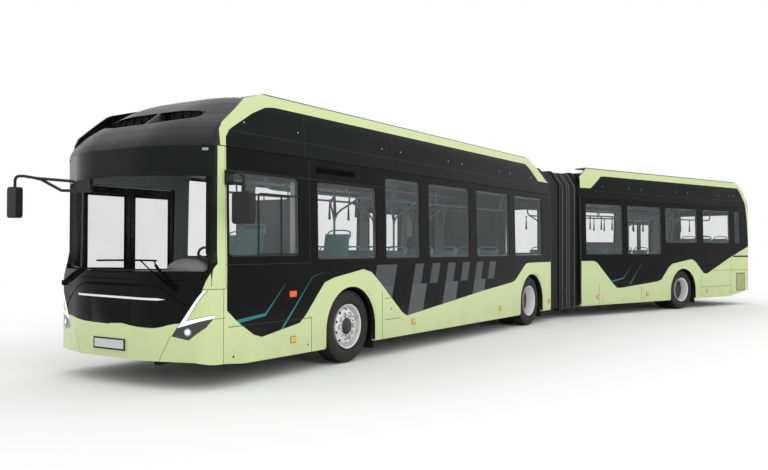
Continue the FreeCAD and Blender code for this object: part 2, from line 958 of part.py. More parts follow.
tail_shell = prism(
    "tail_shell", "XY", [tail_band(0, s.wall, tail_from)], "skirt_low", "wall_top + roof"
)
tail_plan = [
    (half, tail_from),
    (half, s.tail, s.tail_corner),
    (-half, s.tail, s.tail_corner),
    (-half, tail_from),
]
tail_cap = prism("tail_cap", "XY", [tail_plan], "wall_top + roof", "roof_top")
tail_trim = [
    (tail_from, s.skirt_low),
    (s.tail, s.skirt_low),
    (s.tail, s.tail_high - 400, 400),
    (tail_edge, s.tail_high, 40),
    (tail_from, slope_high),
]
tail_side = [
    (half, s.skirt_low),
    (half, s.waist),
    (top_half, s.wall_top),
    (top_half - 14, 3060, 400),
    (half - s.roof_inset, s.roof_top, 90),
]
tail_cross = tail_side + [(-corner[0], *corner[1:]) for corner in tail_side[::-1]]
rear_window_loop = rectangle(-820, 1700, 820, 2450, 90)
lamp_loop = rectangle(1010, 700, 1130, 1500, 40)
window_hole = prism("rear_window_hole", "XZ", [rear_window_loop], "tail - tail_corner", "tail + wall")
lamp_hole = prism("tail_lamp_hole", "XZ", [lamp_loop], "tail - tail_corner", "tail + wall")
node(
    "tail_panel",
    "rear",
    cut(
        "tail_panel_cut",
        shared(
            "tail_trimmed",
            fuse("tail_skin", tail_shell, tail_cap),
            prism("tail_trim", "YZ", [tail_trim], "-width", "width"),
            prism("tail_cross", "XZ", [tail_cross], "tail - tail_corner - wall", "tail"),
        ),
        window_hole,
        prism("tail_wedge", "YZ", [rear_skirt], "-width", "width"),
        lamp_hole,
        mirrored("tail_lamp_hole_right", lamp_hole),
    ),
)
rear_lamp = prism(
    "tail_lamp", "XZ", [rectangle(1010.3, 700.3, 1129.7, 1499.7, 39.7)], "tail - wall", "tail - 40"
)
node("tail_lamps", "rear", group("tail_lamp_pair", rear_lamp, mirrored("tail_lamp_right", rear_lamp)))
rear_glass.append(
    prism(
        "rear_window_pane",
        "XZ",
        [rectangle(-819.7, 1700.3, 819.7, 2449.7, 89)],
        "tail - wall + 10",
        "tail - wall + 10 + pane",
    )
)
node("rear_windows", "rear", group("rear_panes", *rear_glass))


# Portals, bellows and the middle hoop
def gangway_outline(inset, low):
    """The gangway's upright cross-section at an inset, with sloping shoulders."""
    reach = s.gangway_half - inset
    top = s.gangway_high - inset
    shoulder = s.gangway_high - s.shoulder_drop - inset * 0.4
    radius = s.gangway_corner
    return [
        (-reach, low),
        (reach, low),
        (reach, shoulder, radius),
        (reach - s.shoulder_in, top, radius),
        (-reach + s.shoulder_in, top, radius),
        (-reach, shoulder, radius),
    ]


shoulder_low = s.gangway_high - s.shoulder_drop
portal_outer = [
    (-half, s.floor_low),
    (half, s.floor_low),
    (half, s.waist),
    (top_half, s.wall_top),
    (s.gangway_half + s.hoop_proud, shoulder_low, 80),
    (s.gangway_half - s.shoulder_in + s.hoop_proud, s.gangway_high + s.hoop_proud, 80),
    (-s.gangway_half + s.shoulder_in - s.hoop_proud, s.gangway_high + s.hoop_proud, 80),
    (-s.gangway_half - s.hoop_proud, shoulder_low, 80),
    (-top_half, s.wall_top),
    (-half, s.waist),
]
portal_opening = rectangle(-980, s.floor_top, 980, 2400, 160)
portal_loops = [portal_outer, portal_opening]
node(
    "front_portal",
    "front",
    prism("front_portal_frame", "XZ", portal_loops, "front_end - portal", "front_end"),
)
node(
    "rear_portal",
    "rear",
    prism("rear_portal_frame", "XZ", portal_loops, "rear_front", "rear_front + portal"),
)


TURN_UPRIGHT = Rotation(Vector(1, 0, 0), 90)


def gangway_wire(turn, distance, inset, low):
    """One fold of the bellows, moved back from the pivot by a distance and turned about it."""
    wire = Part.Wire([edge.toShape() for edge in outline(gangway_outline(inset, low))])
    wire.Placement = Placement(Vector(), TURN_UPRIGHT)
    wire = wire.transformGeometry(FreeCAD.Matrix())
    wire.translate(Vector(0, distance, 0))
    wire.rotate(Vector(), Vector(0, 0, 1), turn)
    return wire


def bellows_half(start, end, folds):
    """Half of the bellows, from (turn, distance) to (turn, distance), open at the bottom."""

    def run(inset, depth, low):
        wires = []
        for step in range(2 * folds + 1):
            share = step / (2 * folds)
            turn = start[0] + (end[0] - start[0]) * share
            distance = start[1] + (end[1] - start[1]) * share
            wires.append(gangway_wire(turn, distance, inset + depth * (1 - step % 2), low))
        return Part.makeLoft(wires, True, True)

    fold = s.bellows_wall * 0.4
    inside = s.bellows_wall - fold
    return run(0, fold, s.gangway_low).cut(run(inside, 0, s.gangway_low - s.bellows_wall))


gap = s.fold_gap
hoop_turn = -s.bend / 2
front_start = (0, -(s.pivot - s.front_end) + gap)
hoop_front = (hoop_turn, -s.hoop / 2 - gap)
hoop_back = (hoop_turn, s.hoop / 2 + gap)
rear_stop = (-s.bend, s.rear_front - gap)
bellows = doc.addObject("Part::Feature", "bellows_tube")
bellows.Shape = Part.makeCompound(
    [bellows_half(front_start, hoop_front, 5), bellows_half(hoop_back, rear_stop, 5)]
)
node("bellows", "pivot", bellows)
hoop_open = gangway_outline(s.bellows_wall, s.hoop_low + s.hoop_bar)
hoop_loops = [gangway_outline(-s.hoop_proud, s.hoop_low), hoop_open]
hoop_frame = prism("hoop_ring", "XZ", hoop_loops, "-hoop / 2", "hoop / 2")
node(
    "mid_hoop",
    "hoop",
    cut(
        "hoop_bored",
        fuse(
            "hoop_all",
            hoop_frame,
            rod("hoop_boss_disc", "Z", (0, 0, "hoop_low"), "hoop_boss", "hoop_bar"),
        ),
        rod("hoop_bore", "Z", (0, 0, "hoop_low - hoop"), "pin_radius + running_gap", "3 * hoop"),
    ),
)

# Underframes, turntable and axles
frame_low, frame_top = "beam_top", "floor_low"


def underframe(name, start, end, crossings):
    """Two long rails with cross-members, between the axle beams and the floor."""
    pieces = []
    for side, low, high in (("left", 300, 420), ("right", -420, -300)):
        tag = "%s_rail_%s" % (name, side)
        pieces.append(block(tag, (low, start, frame_low), (high, end, frame_top)))
    for index, place in enumerate(crossings):
        tag = "%s_cross_%d" % (name, index)
        pieces.append(
            block(
                tag,
                ("-(width / 2 - wall)", place, frame_low),
                ("width / 2 - wall", place + " + 80", frame_top),
            )
        )
    return pieces


front_frame = underframe(
    "front_frame",
    "wall_front + 20",
    "front_end - portal",
    [
        "wall_front + 60",
        "-box_half - 160",
        "box_half + 80",
        "wheelbase / 2 - 100",
        "wheelbase - box_half - 160",
        "front_end - portal - 200",
    ],
)
rear_frame = underframe(
    "rear_frame",
    "rear_front + portal",
    "tail - tail_rise - 50",
    [
        "rear_front + 60",
        "rear_axle / 2 + 225",
        "rear_axle - box_half - 160",
        "rear_axle + box_half + 80",
    ],
)
front_frame.append(
    block(
        "draw_bar",
        (-220, "front_end - portal - 400", "beam_top - draw_arm"),
        (220, "pivot", "beam_top"),
    )
)
front_frame.append(rod("draw_boss", "Z", (0, "pivot", "beam_top - draw_arm"), "220", "draw_arm"))
front_frame.append(
    rod("centre_pin", "Z", (0, "pivot", "hoop_low"), "pin_radius", "pin_top - hoop_low")
)
for tag, x in (("left", 360), ("right", -360)):
    front_frame.append(
        rod("front_jack_pad_" + tag, "Z", (x, "box_half + 120", "beam_top - jack_pad"), "60", "jack_pad")
    )
    rear_frame.append(
        rod(
            "rear_jack_pad_" + tag,
            "Z",
            (x, "rear_axle - box_half - 120", "beam_top - jack_pad"),
            "60",
            "jack_pad",
        )
    )
tow_mouth = (500, "tow_front", "tow_height")
front_frame.append(
    rod("tow_boss", "Y", tow_mouth, "tow_radius + 15", "wall_front + 80 - tow_front")
)
node(
    "front_underframe",
    "front",
    cut(
        "front_underframe_cut",
        fuse("front_underframe_all", *front_frame),
        rod("tow_bore", "Y", tow_mouth, "tow_radius", "tow_depth"),
    ),
)
turn_low = "beam_top + arm_gap"
disc = cut(
    "turntable_disc",
    fuse(
        "turntable_plates",
        rod(
            "turn_disc",
            "Z",
            (0, 0, "floor_low + 10"),
            "turntable_radius",
            "floor_top - floor_low - 10",
        ),
        rod("turn_boss", "Z", (0, 0, turn_low), "200", "floor_low + 10 - beam_top - arm_gap"),
        block("turn_arm", (-200, 0, turn_low), (200, "rear_front + portal + 60", "floor_low")),
    ),
    rod("turn_bore", "Z", (0, 0, "beam_top"), "pin_radius + running_gap", "pin_top - beam_top"),
)
rear_frame.append(disc)
node("rear_underframe", "rear", fuse("rear_underframe_all", *rear_frame))


def dropped_beam(name, reach):
    """The low middle of an axle, with a riser at each end."""
    return block(
        name, ("-(%s)" % reach, "-beam_half", "beam_low"), (reach, "beam_half", "beam_top")
    )


def steered_axle():
    parts = [dropped_beam("steer_beam", "860")]
    holes = []
    for side in (1, -1):
        tag = "left" if side == 1 else "right"
        low, high = (740, 860) if side == 1 else (-860, -740)
        parts.append(
            block(
                "steer_riser_" + tag,
                (low, "-beam_half", "beam_low"),
                (high, "beam_half", "tyre_radius + 60"),
            )
        )
        arm_low, arm_high = ("860", "kingpin") if side == 1 else ("-kingpin", "-860")
        parts.append(
            block(
                "steer_arm_" + tag,
                (arm_low, -45, "tyre_radius - 60"),
                (arm_high, 45, "tyre_radius + 60"),
            )
        )
        middle = "kingpin" if side == 1 else "-kingpin"
        parts.append(rod("steer_boss_" + tag, "Z", (middle, 0, "tyre_radius - 60"), "45", "120"))
        holes.append(
            rod(
                "steer_bore_" + tag,
                "Z",
                (middle, 0, "tyre_radius - 70"),
                "kingpin_radius + running_gap",
                "140",
            )
        )
    return cut("steer_axle", fuse("steer_axle_all", *parts), *holes)


node("front_axle", "front", steered_axle())


def knuckle(name, side):
    """A steering knuckle: kingpin, two lugs, a back plate and the wheel spindle."""
    sign = "" if side == 1 else "-"
    pin = sign + "kingpin"

    def across(near, far):
        return (near, far) if side == 1 else ("-(%s)" % far, "-(%s)" % near)

    lug = across("kingpin", "kingpin + 60")
    plate = across("kingpin + 55", "kingpin + 85")
    spindle = "kingpin + 85" if side == 1 else "-(wheel_plane + 95)"
    return fuse(
        name + "_all",
        rod(name + "_pin", "Z", (pin, 0, "tyre_radius - 110"), "kingpin_radius", "220"),
        block(name + "_lug_top", (lug[0], -40, "tyre_radius + 67"), (lug[1], 40, "tyre_radius + 110")),
        block(name + "_lug_low", (lug[0], -40, "tyre_radius - 110"), (lug[1], 40, "tyre_radius - 67")),
        rod(name + "_eye_top", "Z", (pin, 0, "tyre_radius + 67"), "40", "43"),
        rod(name + "_eye_low", "Z", (pin, 0, "tyre_radius - 110"), "40", "43"),
        block(
            name + "_plate",
            (plate[0], -60, "tyre_radius - 110"),
            (plate[1], 60, "tyre_radius + 110"),
        ),
        rod(
            name + "_spindle",
            "X",
            (spindle, 0, "tyre_radius"),
            "spindle_radius",
            "wheel_plane + 95 - kingpin - 85",
        ),
    )


node("knuckle_left", "front", knuckle("knuckle_left", 1))
node("knuckle_right", "front", knuckle("knuckle_right", -1))


def twin_axle(name, middle):
    """A dropped axle with an upright end plate and a spindle at each side."""
    parts = [dropped_beam(name + "_beam", "640")]
    for side in (1, -1):
        tag = "left" if side == 1 else "right"
        low, high = ("605", "640") if side == 1 else ("-640", "-605")
        parts.append(
            block(
                "%s_plate_%s" % (name, tag),
                (low, -140, "beam_low"),
                (high, 140, "tyre_radius + 120"),
            )
        )
        start = "640" if side == 1 else "-(wheel_plane - twin_pitch / 2 + 120)"
        parts.append(
            rod(
                "%s_spindle_%s" % (name, tag),
                "X",
                (start, 0, "tyre_radius"),
                "spindle_radius",
                "wheel_plane - twin_pitch / 2 + 120 - 640",
            )
        )
    axle = fuse(name + "_all", *parts)
    return tie(axle, PlacementY=middle)


node("middle_axle", "front", twin_axle("middle_axle", "wheelbase"))
node("rear_axle", "rear", twin_axle("rear_axle", "rear_axle"))


# Wheels
def revolved(name, loops):
    """Outlines drawn with u along the axle and v outwards, turned round the axle."""
    body = doc.addObject("PartDesign::Body", name)
    plane = [f for f in body.Origin.OriginFeatures if f.Role == "XZ_Plane"][0]
    drawing = body.newObject("Sketcher::SketchObject", name + "_profile")
    drawing.AttachmentSupport = [(plane, "")]
    drawing.MapMode = "FlatFace"
    for loop in loops:
        for edge in outline(loop):
            drawing.addGeometry(edge, False)
    turn = body.newObject("PartDesign::Revolution", name + "_turn")
    turn.Profile = drawing
    turn.ReferenceAxis = (drawing, ["H_Axis"])
    turn.Angle = 360
    body.Tip = turn
    return body


def tyre_loop(middle):
    wide = s.tyre_width / 2
    bead = s.bead_radius
    crown = s.tyre_radius
    half_loop = [
        (wide - 35, bead),
        (wide - 8, bead + 35),
        (wide, bead + 80),
        (wide - 4, crown - 40),
        (wide - 16, crown - 10),
        (wide - 36, crown),
    ]
    return [(middle + x, r) for x, r in half_loop] + [(middle - x, r) for x, r in half_loop[::-1]]


def rim_loop_front():
    """A front rim: its disc bulges outwards."""
    wide = s.tyre_width / 2 - 20
    out, inside = s.bead_radius - 0.3, s.bead_radius - s.rim_wall
    bore = s.spindle_radius + s.running_gap
    hub = -12.5 + 30
    return [
        (-wide, out),
        (wide, out),
        (wide, inside),
        (wide - 40, inside),
        (wide - 14, 200),
        (wide - 14, 120),
        (wide + 8, 110),
        (wide + 8, 62),
        (wide - 12, 62),
        (wide - 12, bore),
        (hub, bore),
        (hub, 110),
        (wide - 40, 120),
        (wide - 40, 190),
        (wide - 75, inside),
        (-wide, inside),
    ]


def rim_loop_twin():
    """Twin rims on one hub: both discs meet in the middle."""
    wide = s.tyre_width / 2 - 20
    out, inside = s.bead_radius - 0.3, s.bead_radius - s.rim_wall
    bore = s.spindle_radius + s.running_gap
    shift = s.twin_pitch / 2
    return [
        (-shift - wide, out),
        (-shift + wide, out),
        (-shift + wide, inside),
        (-14, 230),
        (14, 230),
        (shift - wide, inside),
        (shift - wide, out),
        (shift + wide, out),
        (shift + wide, inside),
        (shift - wide + 60, inside),
        (20, 200),
        (20, 150),
        (150, 120),
        (150, 62),
        (130, 62),
        (130, bore),
        (-120, bore),
        (-120, 120),
        (-20, 150),
        (-20, 200),
        (-shift + wide - 60, inside),
        (-shift - wide, inside),
    ]


def hand_holes(name, rim):
    """The rim with the round holes near the edge of its disc."""
    holes = []
    for number in range(s.hand_holes):
        angle = 2 * math.pi * number / s.hand_holes
        start = (-s.tyre_width, s.hand_circle * math.cos(angle), s.hand_circle * math.sin(angle))
        holes.append(rod("%s_hole_%d" % (name, number), "X", start, "hand_radius", "2 * tyre_width"))
    return cut(name + "_pierced", rim, *holes)


def wheel(corner, side, section, middle, plane, tyre_loops, rim_loop):
    """One wheel: its tyre or tyres, and its rim, at a corner of the bus."""
    tyre = revolved("tyre_" + corner, tyre_loops)
    rim = hand_holes("rim_" + corner, revolved("rim_" + corner, [rim_loop]))
    for piece in (tyre, rim):
        piece.Placement = Placement(Vector(), Rotation(Vector(0, 0, 1), 0 if side == 1 else 180))
        sign = "" if side == 1 else "-"
        tie(piece, PlacementX="%s(%s)" % (sign, plane), PlacementY=middle, PlacementZ="tyre_radius")
    node("tyre_" + corner, section, tyre)
    node("rim_" + corner, section, rim)


twin_plane = "wheel_plane - twin_pitch / 2"
twin_tyres = [tyre_loop(-s.twin_pitch / 2), tyre_loop(s.twin_pitch / 2)]
for side, hand in ((1, "left"), (-1, "right")):
    wheel("front_" + hand, side, "front", "0", "wheel_plane", [tyre_loop(0)], rim_loop_front())
    wheel("middle_" + hand, side, "front", "wheelbase", twin_plane, twin_tyres, rim_loop_twin())
    wheel("rear_" + hand, side, "rear", "rear_axle", twin_plane, twin_tyres, rim_loop_twin())


# Door leaves
def leaf(name, fore, aft, hinge_fore):
    """A leaf between two heights, rounded about its hinge post, with its pane."""
    outer = half - s.leaf_inset
    inner = outer - s.leaf
    middle = (fore + aft) / 2
    if hinge_fore:
        hinge_edge, free_edge = fore + s.leaf_gap, middle - s.meeting_gap / 2
    else:
        hinge_edge, free_edge = aft - s.leaf_gap, middle + s.meeting_gap / 2
    round_off = s.leaf / 2 - 0.01
    plan = [
        (-outer, hinge_edge, round_off),
        (-outer, free_edge),
        (-inner, free_edge),
        (-inner, hinge_edge, round_off),
    ]
    post = hinge_edge + (s.leaf / 2 if hinge_fore else -s.leaf / 2)
    slab = fuse(
        name + "_slab",
        prism(name + "_plan", "XY", [plan], "door_low", "door_high"),
        rod(
            name + "_pin",
            "Z",
            ("-(width / 2 - leaf_inset - leaf / 2)", post, "floor_top + pane_seat"),
            "12",
            "door_high + meeting_gap - floor_top - 2 * pane_seat",
        ),
    )
    near, far = sorted((hinge_edge, free_edge))
    rim = s.leaf_frame
    low, high = s.door_low + rim * 1.5, s.door_high - rim * 1.5
    hole = prism(
        name + "_hole",
        "YZ",
        [rectangle(near + rim, low, far - rim, high, 50)],
        "-width",
        "0",
    )
    gap = s.pane_seat
    pane = prism(
        name + "_pane",
        "YZ",
        [rectangle(near + rim + gap, low + gap, far - rim - gap, high - gap, 50 - gap)],
        "-(width / 2 - leaf_inset - leaf / 2 + pane / 2)",
        "-(width / 2 - leaf_inset - leaf / 2 - pane / 2)",
    )
    return group(name + "_leaf", cut(name + "_frame", slab, hole), pane)


for name, section, fore, aft in (
    ("front_door", "front", front_door_fore, front_door_aft),
    ("mid_door", "front", mid_door_fore, mid_door_aft),
    ("rear_door", "rear", rear_door_fore, rear_door_aft),
):
    node(name + "_fore", section, leaf(name + "_fore", fore, aft, True))
    node(name + "_aft", section, leaf(name + "_aft", fore, aft, False))


# Mirrors and wipers
def strut(name, start, end, radius):
    """A round bar between two points."""
    span = Vector(*end) - Vector(*start)
    bar = doc.addObject("Part::Cylinder", name)
    bar.Radius = radius
    bar.Height = span.Length
    bar.Placement = Placement(Vector(*start), Rotation(Vector(0, 0, 1), span))
    return bar


def tube(name, points, radius, bend):
    """A round bar bent to run through points."""
    places = [Vector(*point) for point in points]
    edges = []
    start = places[0]
    for before, here, after in zip(places, places[1:], places[2:]):
        back = before - here
        ahead = after - here
        half_angle = back.getAngle(ahead) / 2
        run = min(bend / math.tan(half_angle), 0.45 * back.Length, 0.45 * ahead.Length)
        radius_there = run * math.tan(half_angle)
        back.normalize()
        ahead.normalize()
        inward = (back + ahead).normalize()
        middle = here + inward * (radius_there / math.sin(half_angle) - radius_there)
        edges.append(Part.LineSegment(start, here + back * run).toShape())
        edges.append(Part.Arc(here + back * run, middle, here + ahead * run).toShape())
        start = here + ahead * run
    edges.append(Part.LineSegment(start, places[-1]).toShape())
    first = places[1] - places[0]
    ring = Part.Wire([Part.Circle(places[0], first, radius).toShape()])
    bar = doc.addObject("Part::Feature", name)
    bar.Shape = Part.Wire(edges).makePipeShell([ring], True, False, 1)
    return bar


right_mirror = fuse(
    "right_mirror",
    block("right_mirror_foot", (-570, "nose - 45", 2130), (-325, "nose - pane_seat", 2270)),
    tube(
        "right_upper_arm",
        [
            (-540, s.nose - 25, 2205),
            (-625, s.nose - 49, 2261),
            (-1121, s.nose - 175, 2309),
            (-1316, s.nose - 225, 2341),
            (-1437, s.nose - 256, 2342),
            (-1437, s.nose - 256, 2200),
        ],
        s.mirror_arm,
        s.mirror_bend,
    ),
    tube(
        "right_lower_arm",
        [
            (-540, s.nose - 25, 2150),
            (-782, s.nose - 89, 2159),
            (-1068, s.nose - 162, 2295),
            (-1150, s.nose - 183, 2312),
        ],
        s.mirror_arm,
        s.mirror_bend,
    ),
    prism(
        "right_head", "XZ", [rectangle(-1527, 1849, -1347, 2215, 40)], "nose - 301", "nose - 211"
    ),
)
foot_side = half - wall_inset(2260)
left_mirror = fuse(
    "left_mirror",
    block(
        "left_mirror_foot",
        (foot_side + 2, "wall_front - 10", 2180),
        (foot_side + 42, "wall_front + 90", 2335),
    ),
    tube(
        "left_loop",
        [
            (half + 10, s.wall_front + 34, 2312),
            (half + 168, s.wall_front + 13, 2310),
            (half + 251, s.wall_front + 1, 2254),
            (half + 251, s.wall_front + 1, 2080),
        ],
        s.mirror_arm,
        s.mirror_bend,
    ),
    tube(
        "left_lower_arm",
        [
            (half + 10, s.wall_front + 33, 2200),
            (half + 227, s.wall_front + 5, 2181),
            (half + 253, s.wall_front + 1, 2181),
        ],
        s.mirror_arm,
        s.mirror_bend,
    ),
    prism(
        "left_head",
        "XZ",
        [rectangle(half + 123, 1756, half + 381, 2095, 40)],
        "wall_front - 44",
        "wall_front + 46",
    ),
)
node("mirrors", "front", group("mirror_pair", left_mirror, right_mirror))


def wiper(name, pivot, elbow, blade):
    """A wiper: a pivot on the panel, a bent arm and a blade that lies along the glass."""
    x, z = pivot
    (fore_x, fore_z), (end_x, end_z) = blade
    low, high = sorted((fore_x, end_x))
    return fuse(
        name,
        rod(name + "_pivot", "Y", (x, "nose - 5", z), "18", "200"),
        tube(
            name + "_arm",
            [(x, s.nose - 5, z), (elbow[0], s.nose - 22, elbow[1]), (fore_x, s.nose - 22, fore_z)],
            9,
            40,
        ),
        block(name + "_blade", (low, "nose - 28", end_z - 12), (high, "nose + 1", end_z + 12)),
    )


panel_space = nose_solid("wiper_clearance", -s.pane_seat, "0")
right_wiper = cut(
    "right_wiper_cut",
    wiper("right_wiper", (-1065, 1094), (-508, 1272), ((-345, 1281), (412, 1281))),
    panel_space,
)
left_wiper = cut(
    "left_wiper_cut",
    wiper("left_wiper", (911, 1079), (605, 1305), ((505, 1371), (-210, 1371))),
    panel_space,
)
node("wipers", "front", group("wiper_pair", left_wiper, right_wiper))


# Cab: dashboard with steering wheel, partition
dash_side = [
    (s.nose + 70, s.cab_floor),
    (s.wall_front + 40, s.cab_floor),
    (s.wall_front + 40, 1000, 40),
    (s.wall_front + 240, 1120, 40),
    (s.wall_front + 240, 1210, 40),
    (s.wall_front - 60, 1260, 40),
    (s.nose + 70, 1250),
]
dash = shared(
    "dash",
    prism("dash_body", "YZ", [dash_side], "180", "width / 2 - wall - 60"),
    nose_solid("dash_space", s.wall + 5, "0"),
)
hub = Vector(700, s.wall_front + 410, 1330)
column_foot = Vector(700, s.wall_front + 190, 1150)
lean_back = Rotation(Vector(0, 0, 1), hub - column_foot)
steering_ring = doc.addObject("Part::Torus", "steering_ring")
steering_ring.Radius1 = 230
steering_ring.Radius2 = 15
steering_ring.Placement = Placement(hub, lean_back)
spokes = []
for number, angle in enumerate((90, 210, 330)):
    out = Vector(230 * math.cos(math.radians(angle)), 230 * math.sin(math.radians(angle)), 0)
    spokes.append(strut("spoke_%d" % number, tuple(hub), tuple(hub + lean_back * out), 12))
column = strut("steering_column", tuple(column_foot), tuple(hub), 30)
node("dashboard", "front", fuse("dash_all", dash, column, steering_ring, *spokes))
screen_loop = [
    (180, s.floor_top),
    (half - s.wall - s.pane_seat, s.floor_top),
    (half - s.wall - s.pane_seat, s.waist),
    (half - s.wall - wall_inset(2100) - s.pane_seat, 2100),
    (180, 2100),
]
node(
    "cab_screen",
    "front",
    prism("screen_panel", "XZ", [screen_loop], "-box_half - 410", "-box_half - 380"),
)


# Seats
def seat_master():
    side = [
        (0, 380),
        (430, 400),
        (445, 430),
        (430, 455),
        (110, 460),
        (60, 490),
        (-60, 1130),
        (-85, 1145),
        (-110, 1120),
        (-40, 440),
    ]
    shell = prism("seat_shell", "YZ", [side], "-215", "215")
    stand = block("seat_stand", (-60, 120, 0), (60, 300, 410))
    return fuse("seat", shell, stand)


seat_model = seat_master()


def seats(name, places):
    """Copies of the seat: (x, y, height of its floor, turn)."""
    doc.recompute()
    copies = []
    for x, y, floor_height, turn in places:
        copy = seat_model.Shape.copy()
        copy.Placement = Placement(Vector(x, y, floor_height), Rotation(Vector(0, 0, 1), turn))
        copies.append(copy)
    feature = doc.addObject("Part::Feature", name + "_copies")
    feature.Shape = Part.makeCompound(copies)
    return feature


def rows(first, limit):
    """The places of a run of seat rows, as many as fit before a limit."""
    return [first + s.seat_pitch * n for n in range(20) if first + s.seat_pitch * n < limit - 110]


floor_z = s.floor_top
box_reach = s.box_half + s.box_wall
right_limit = min(s.wheelbase - box_reach, mid_door_fore)
front_places = [
    (x, y, floor_z, 180) for y in rows(1500, s.wheelbase - box_reach) for x in (930, 480)
]
front_places += [(x, y, floor_z, 180) for y in rows(1500, right_limit) for x in (-930, -480)]
front_places += [(700, s.wall_front + 790, s.cab_floor, 180)]
low_rows = rows(s.rear_front + 1015, s.rear_axle - box_reach)
high_rows = rows(s.rear_axle + box_reach + 830, tail_from)
rear_places = [(x, y, floor_z, 180) for y in low_rows for x in (930, 480, -930, -480)]
rear_places += [(x, y, s.platform, 180) for y in high_rows for x in (930, 480)]
node("front_seats", "front", seats("front_seats", front_places))
node("rear_seats", "rear", seats("rear_seats", rear_places))


# Handrails
def handrails(name, places):
    poles = []
    for index, (x, y) in enumerate(places):
        tag = "%s_pole_%d" % (name, index)
        poles.append(rod(tag, "Z", (x, y, "floor_top"), "17", "wall_top - floor_top"))
    return group(name, *poles)


node(
    "front_handrails",
    "front",
    handrails("front_rails", [(200, 1050), (-200, 1050), (200, 2700), (-200, 2700), (200, 3800)]),
)
node(
    "rear_handrails",
    "rear",
    handrails("rear_rails", [(200, 1400), (-200, 1400), (200, 3900), (200, 5700)]),
)


# Place each sub-part in its section, with the origin under the middle of the whole bus
doc.recompute()
pivot_place = Placement(Vector(0, s.pivot, 0), Rotation())
places = {
    "front": Placement(),
    "pivot": pivot_place,
    "hoop": pivot_place * Placement(Vector(), Rotation(Vector(0, 0, 1), -s.bend / 2)),
    "rear": pivot_place * Placement(Vector(), Rotation(Vector(0, 0, 1), -s.bend)),
}
whole = FreeCAD.BoundBox()
for name, section, piece in nodes:
    placed = piece.Shape.copy()
    placed.Placement = places[section] * piece.Placement
    whole.add(placed.optimalBoundingBox(False))
shift = Placement(Vector(-whole.Center.x, -whole.Center.y, 0), Rotation())
for name, section, piece in nodes:
    for path, _ in list(piece.ExpressionEngine):
        if path.lstrip(".").startswith("Placement"):
            piece.setExpression(path, None)
    piece.Placement = shift * places[section] * piece.Placement
doc.recompute()
print("shift", shift.Base, "whole", whole)

# Check and write
failed = [o.Name for o in doc.Objects if "Invalid" in o.State or "Error" in o.State]
os.makedirs("parts", exist_ok=True)
for name, section, piece in nodes:
    shape = piece.Shape
    if shape.isNull() or not shape.isValid() or not shape.Solids:
        failed.append(name)
if failed:
    raise SystemExit("these failed: " + ", ".join(failed))
for name, section, piece in nodes:
    piece.Shape.exportStep("parts/%s.step" % name)
print(len(nodes), "sub-parts")
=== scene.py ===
import json
import math

import bpy
from mathutils import Matrix, Vector


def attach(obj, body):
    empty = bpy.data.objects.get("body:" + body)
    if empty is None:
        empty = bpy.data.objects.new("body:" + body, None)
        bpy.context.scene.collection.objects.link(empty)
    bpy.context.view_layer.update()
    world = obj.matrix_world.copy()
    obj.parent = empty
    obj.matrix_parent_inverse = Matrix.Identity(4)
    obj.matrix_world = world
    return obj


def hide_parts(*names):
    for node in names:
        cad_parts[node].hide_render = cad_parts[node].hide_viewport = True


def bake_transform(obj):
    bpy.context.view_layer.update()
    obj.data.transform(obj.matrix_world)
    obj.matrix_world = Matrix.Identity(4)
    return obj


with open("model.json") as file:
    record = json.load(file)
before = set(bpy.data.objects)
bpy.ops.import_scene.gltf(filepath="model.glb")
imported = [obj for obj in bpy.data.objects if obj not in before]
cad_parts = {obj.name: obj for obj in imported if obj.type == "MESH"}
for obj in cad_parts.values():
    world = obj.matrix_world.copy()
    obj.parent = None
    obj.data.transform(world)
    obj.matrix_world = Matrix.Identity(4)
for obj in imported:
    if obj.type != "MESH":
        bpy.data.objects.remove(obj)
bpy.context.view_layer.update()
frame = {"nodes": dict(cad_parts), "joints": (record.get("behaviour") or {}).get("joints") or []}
bpy.ops.object.select_all(action="DESELECT")

# The two sections are described in their own lengths, as a coachbuilder's drawing does: the front
# one from its first axle, the rear one from the pivot, which stands turned by the bend.
joint_place = {joint["name"]: joint["pos_m"] for joint in frame["joints"]}
wheel_side = 1.0975
half_width = 1.275
middle_axle = 6.0
rear_axle = 4.75
pivot_back = 7.93
front_end = 7.04
rear_start = .785
gutter = 2.595
axle_start = Vector((joint_place["spin_front_left"][0] - wheel_side, joint_place["spin_front_left"][1], 0))
pivot_start = Vector((*joint_place["articulation"][:2], 0))
bend = math.radians(19.3)
front_place = Matrix.Translation(axle_start)
rear_place = Matrix.Translation(pivot_start) @ Matrix.Rotation(-bend, 4, "Z")
sections = {"front_body": front_place, "rear_body": rear_place}


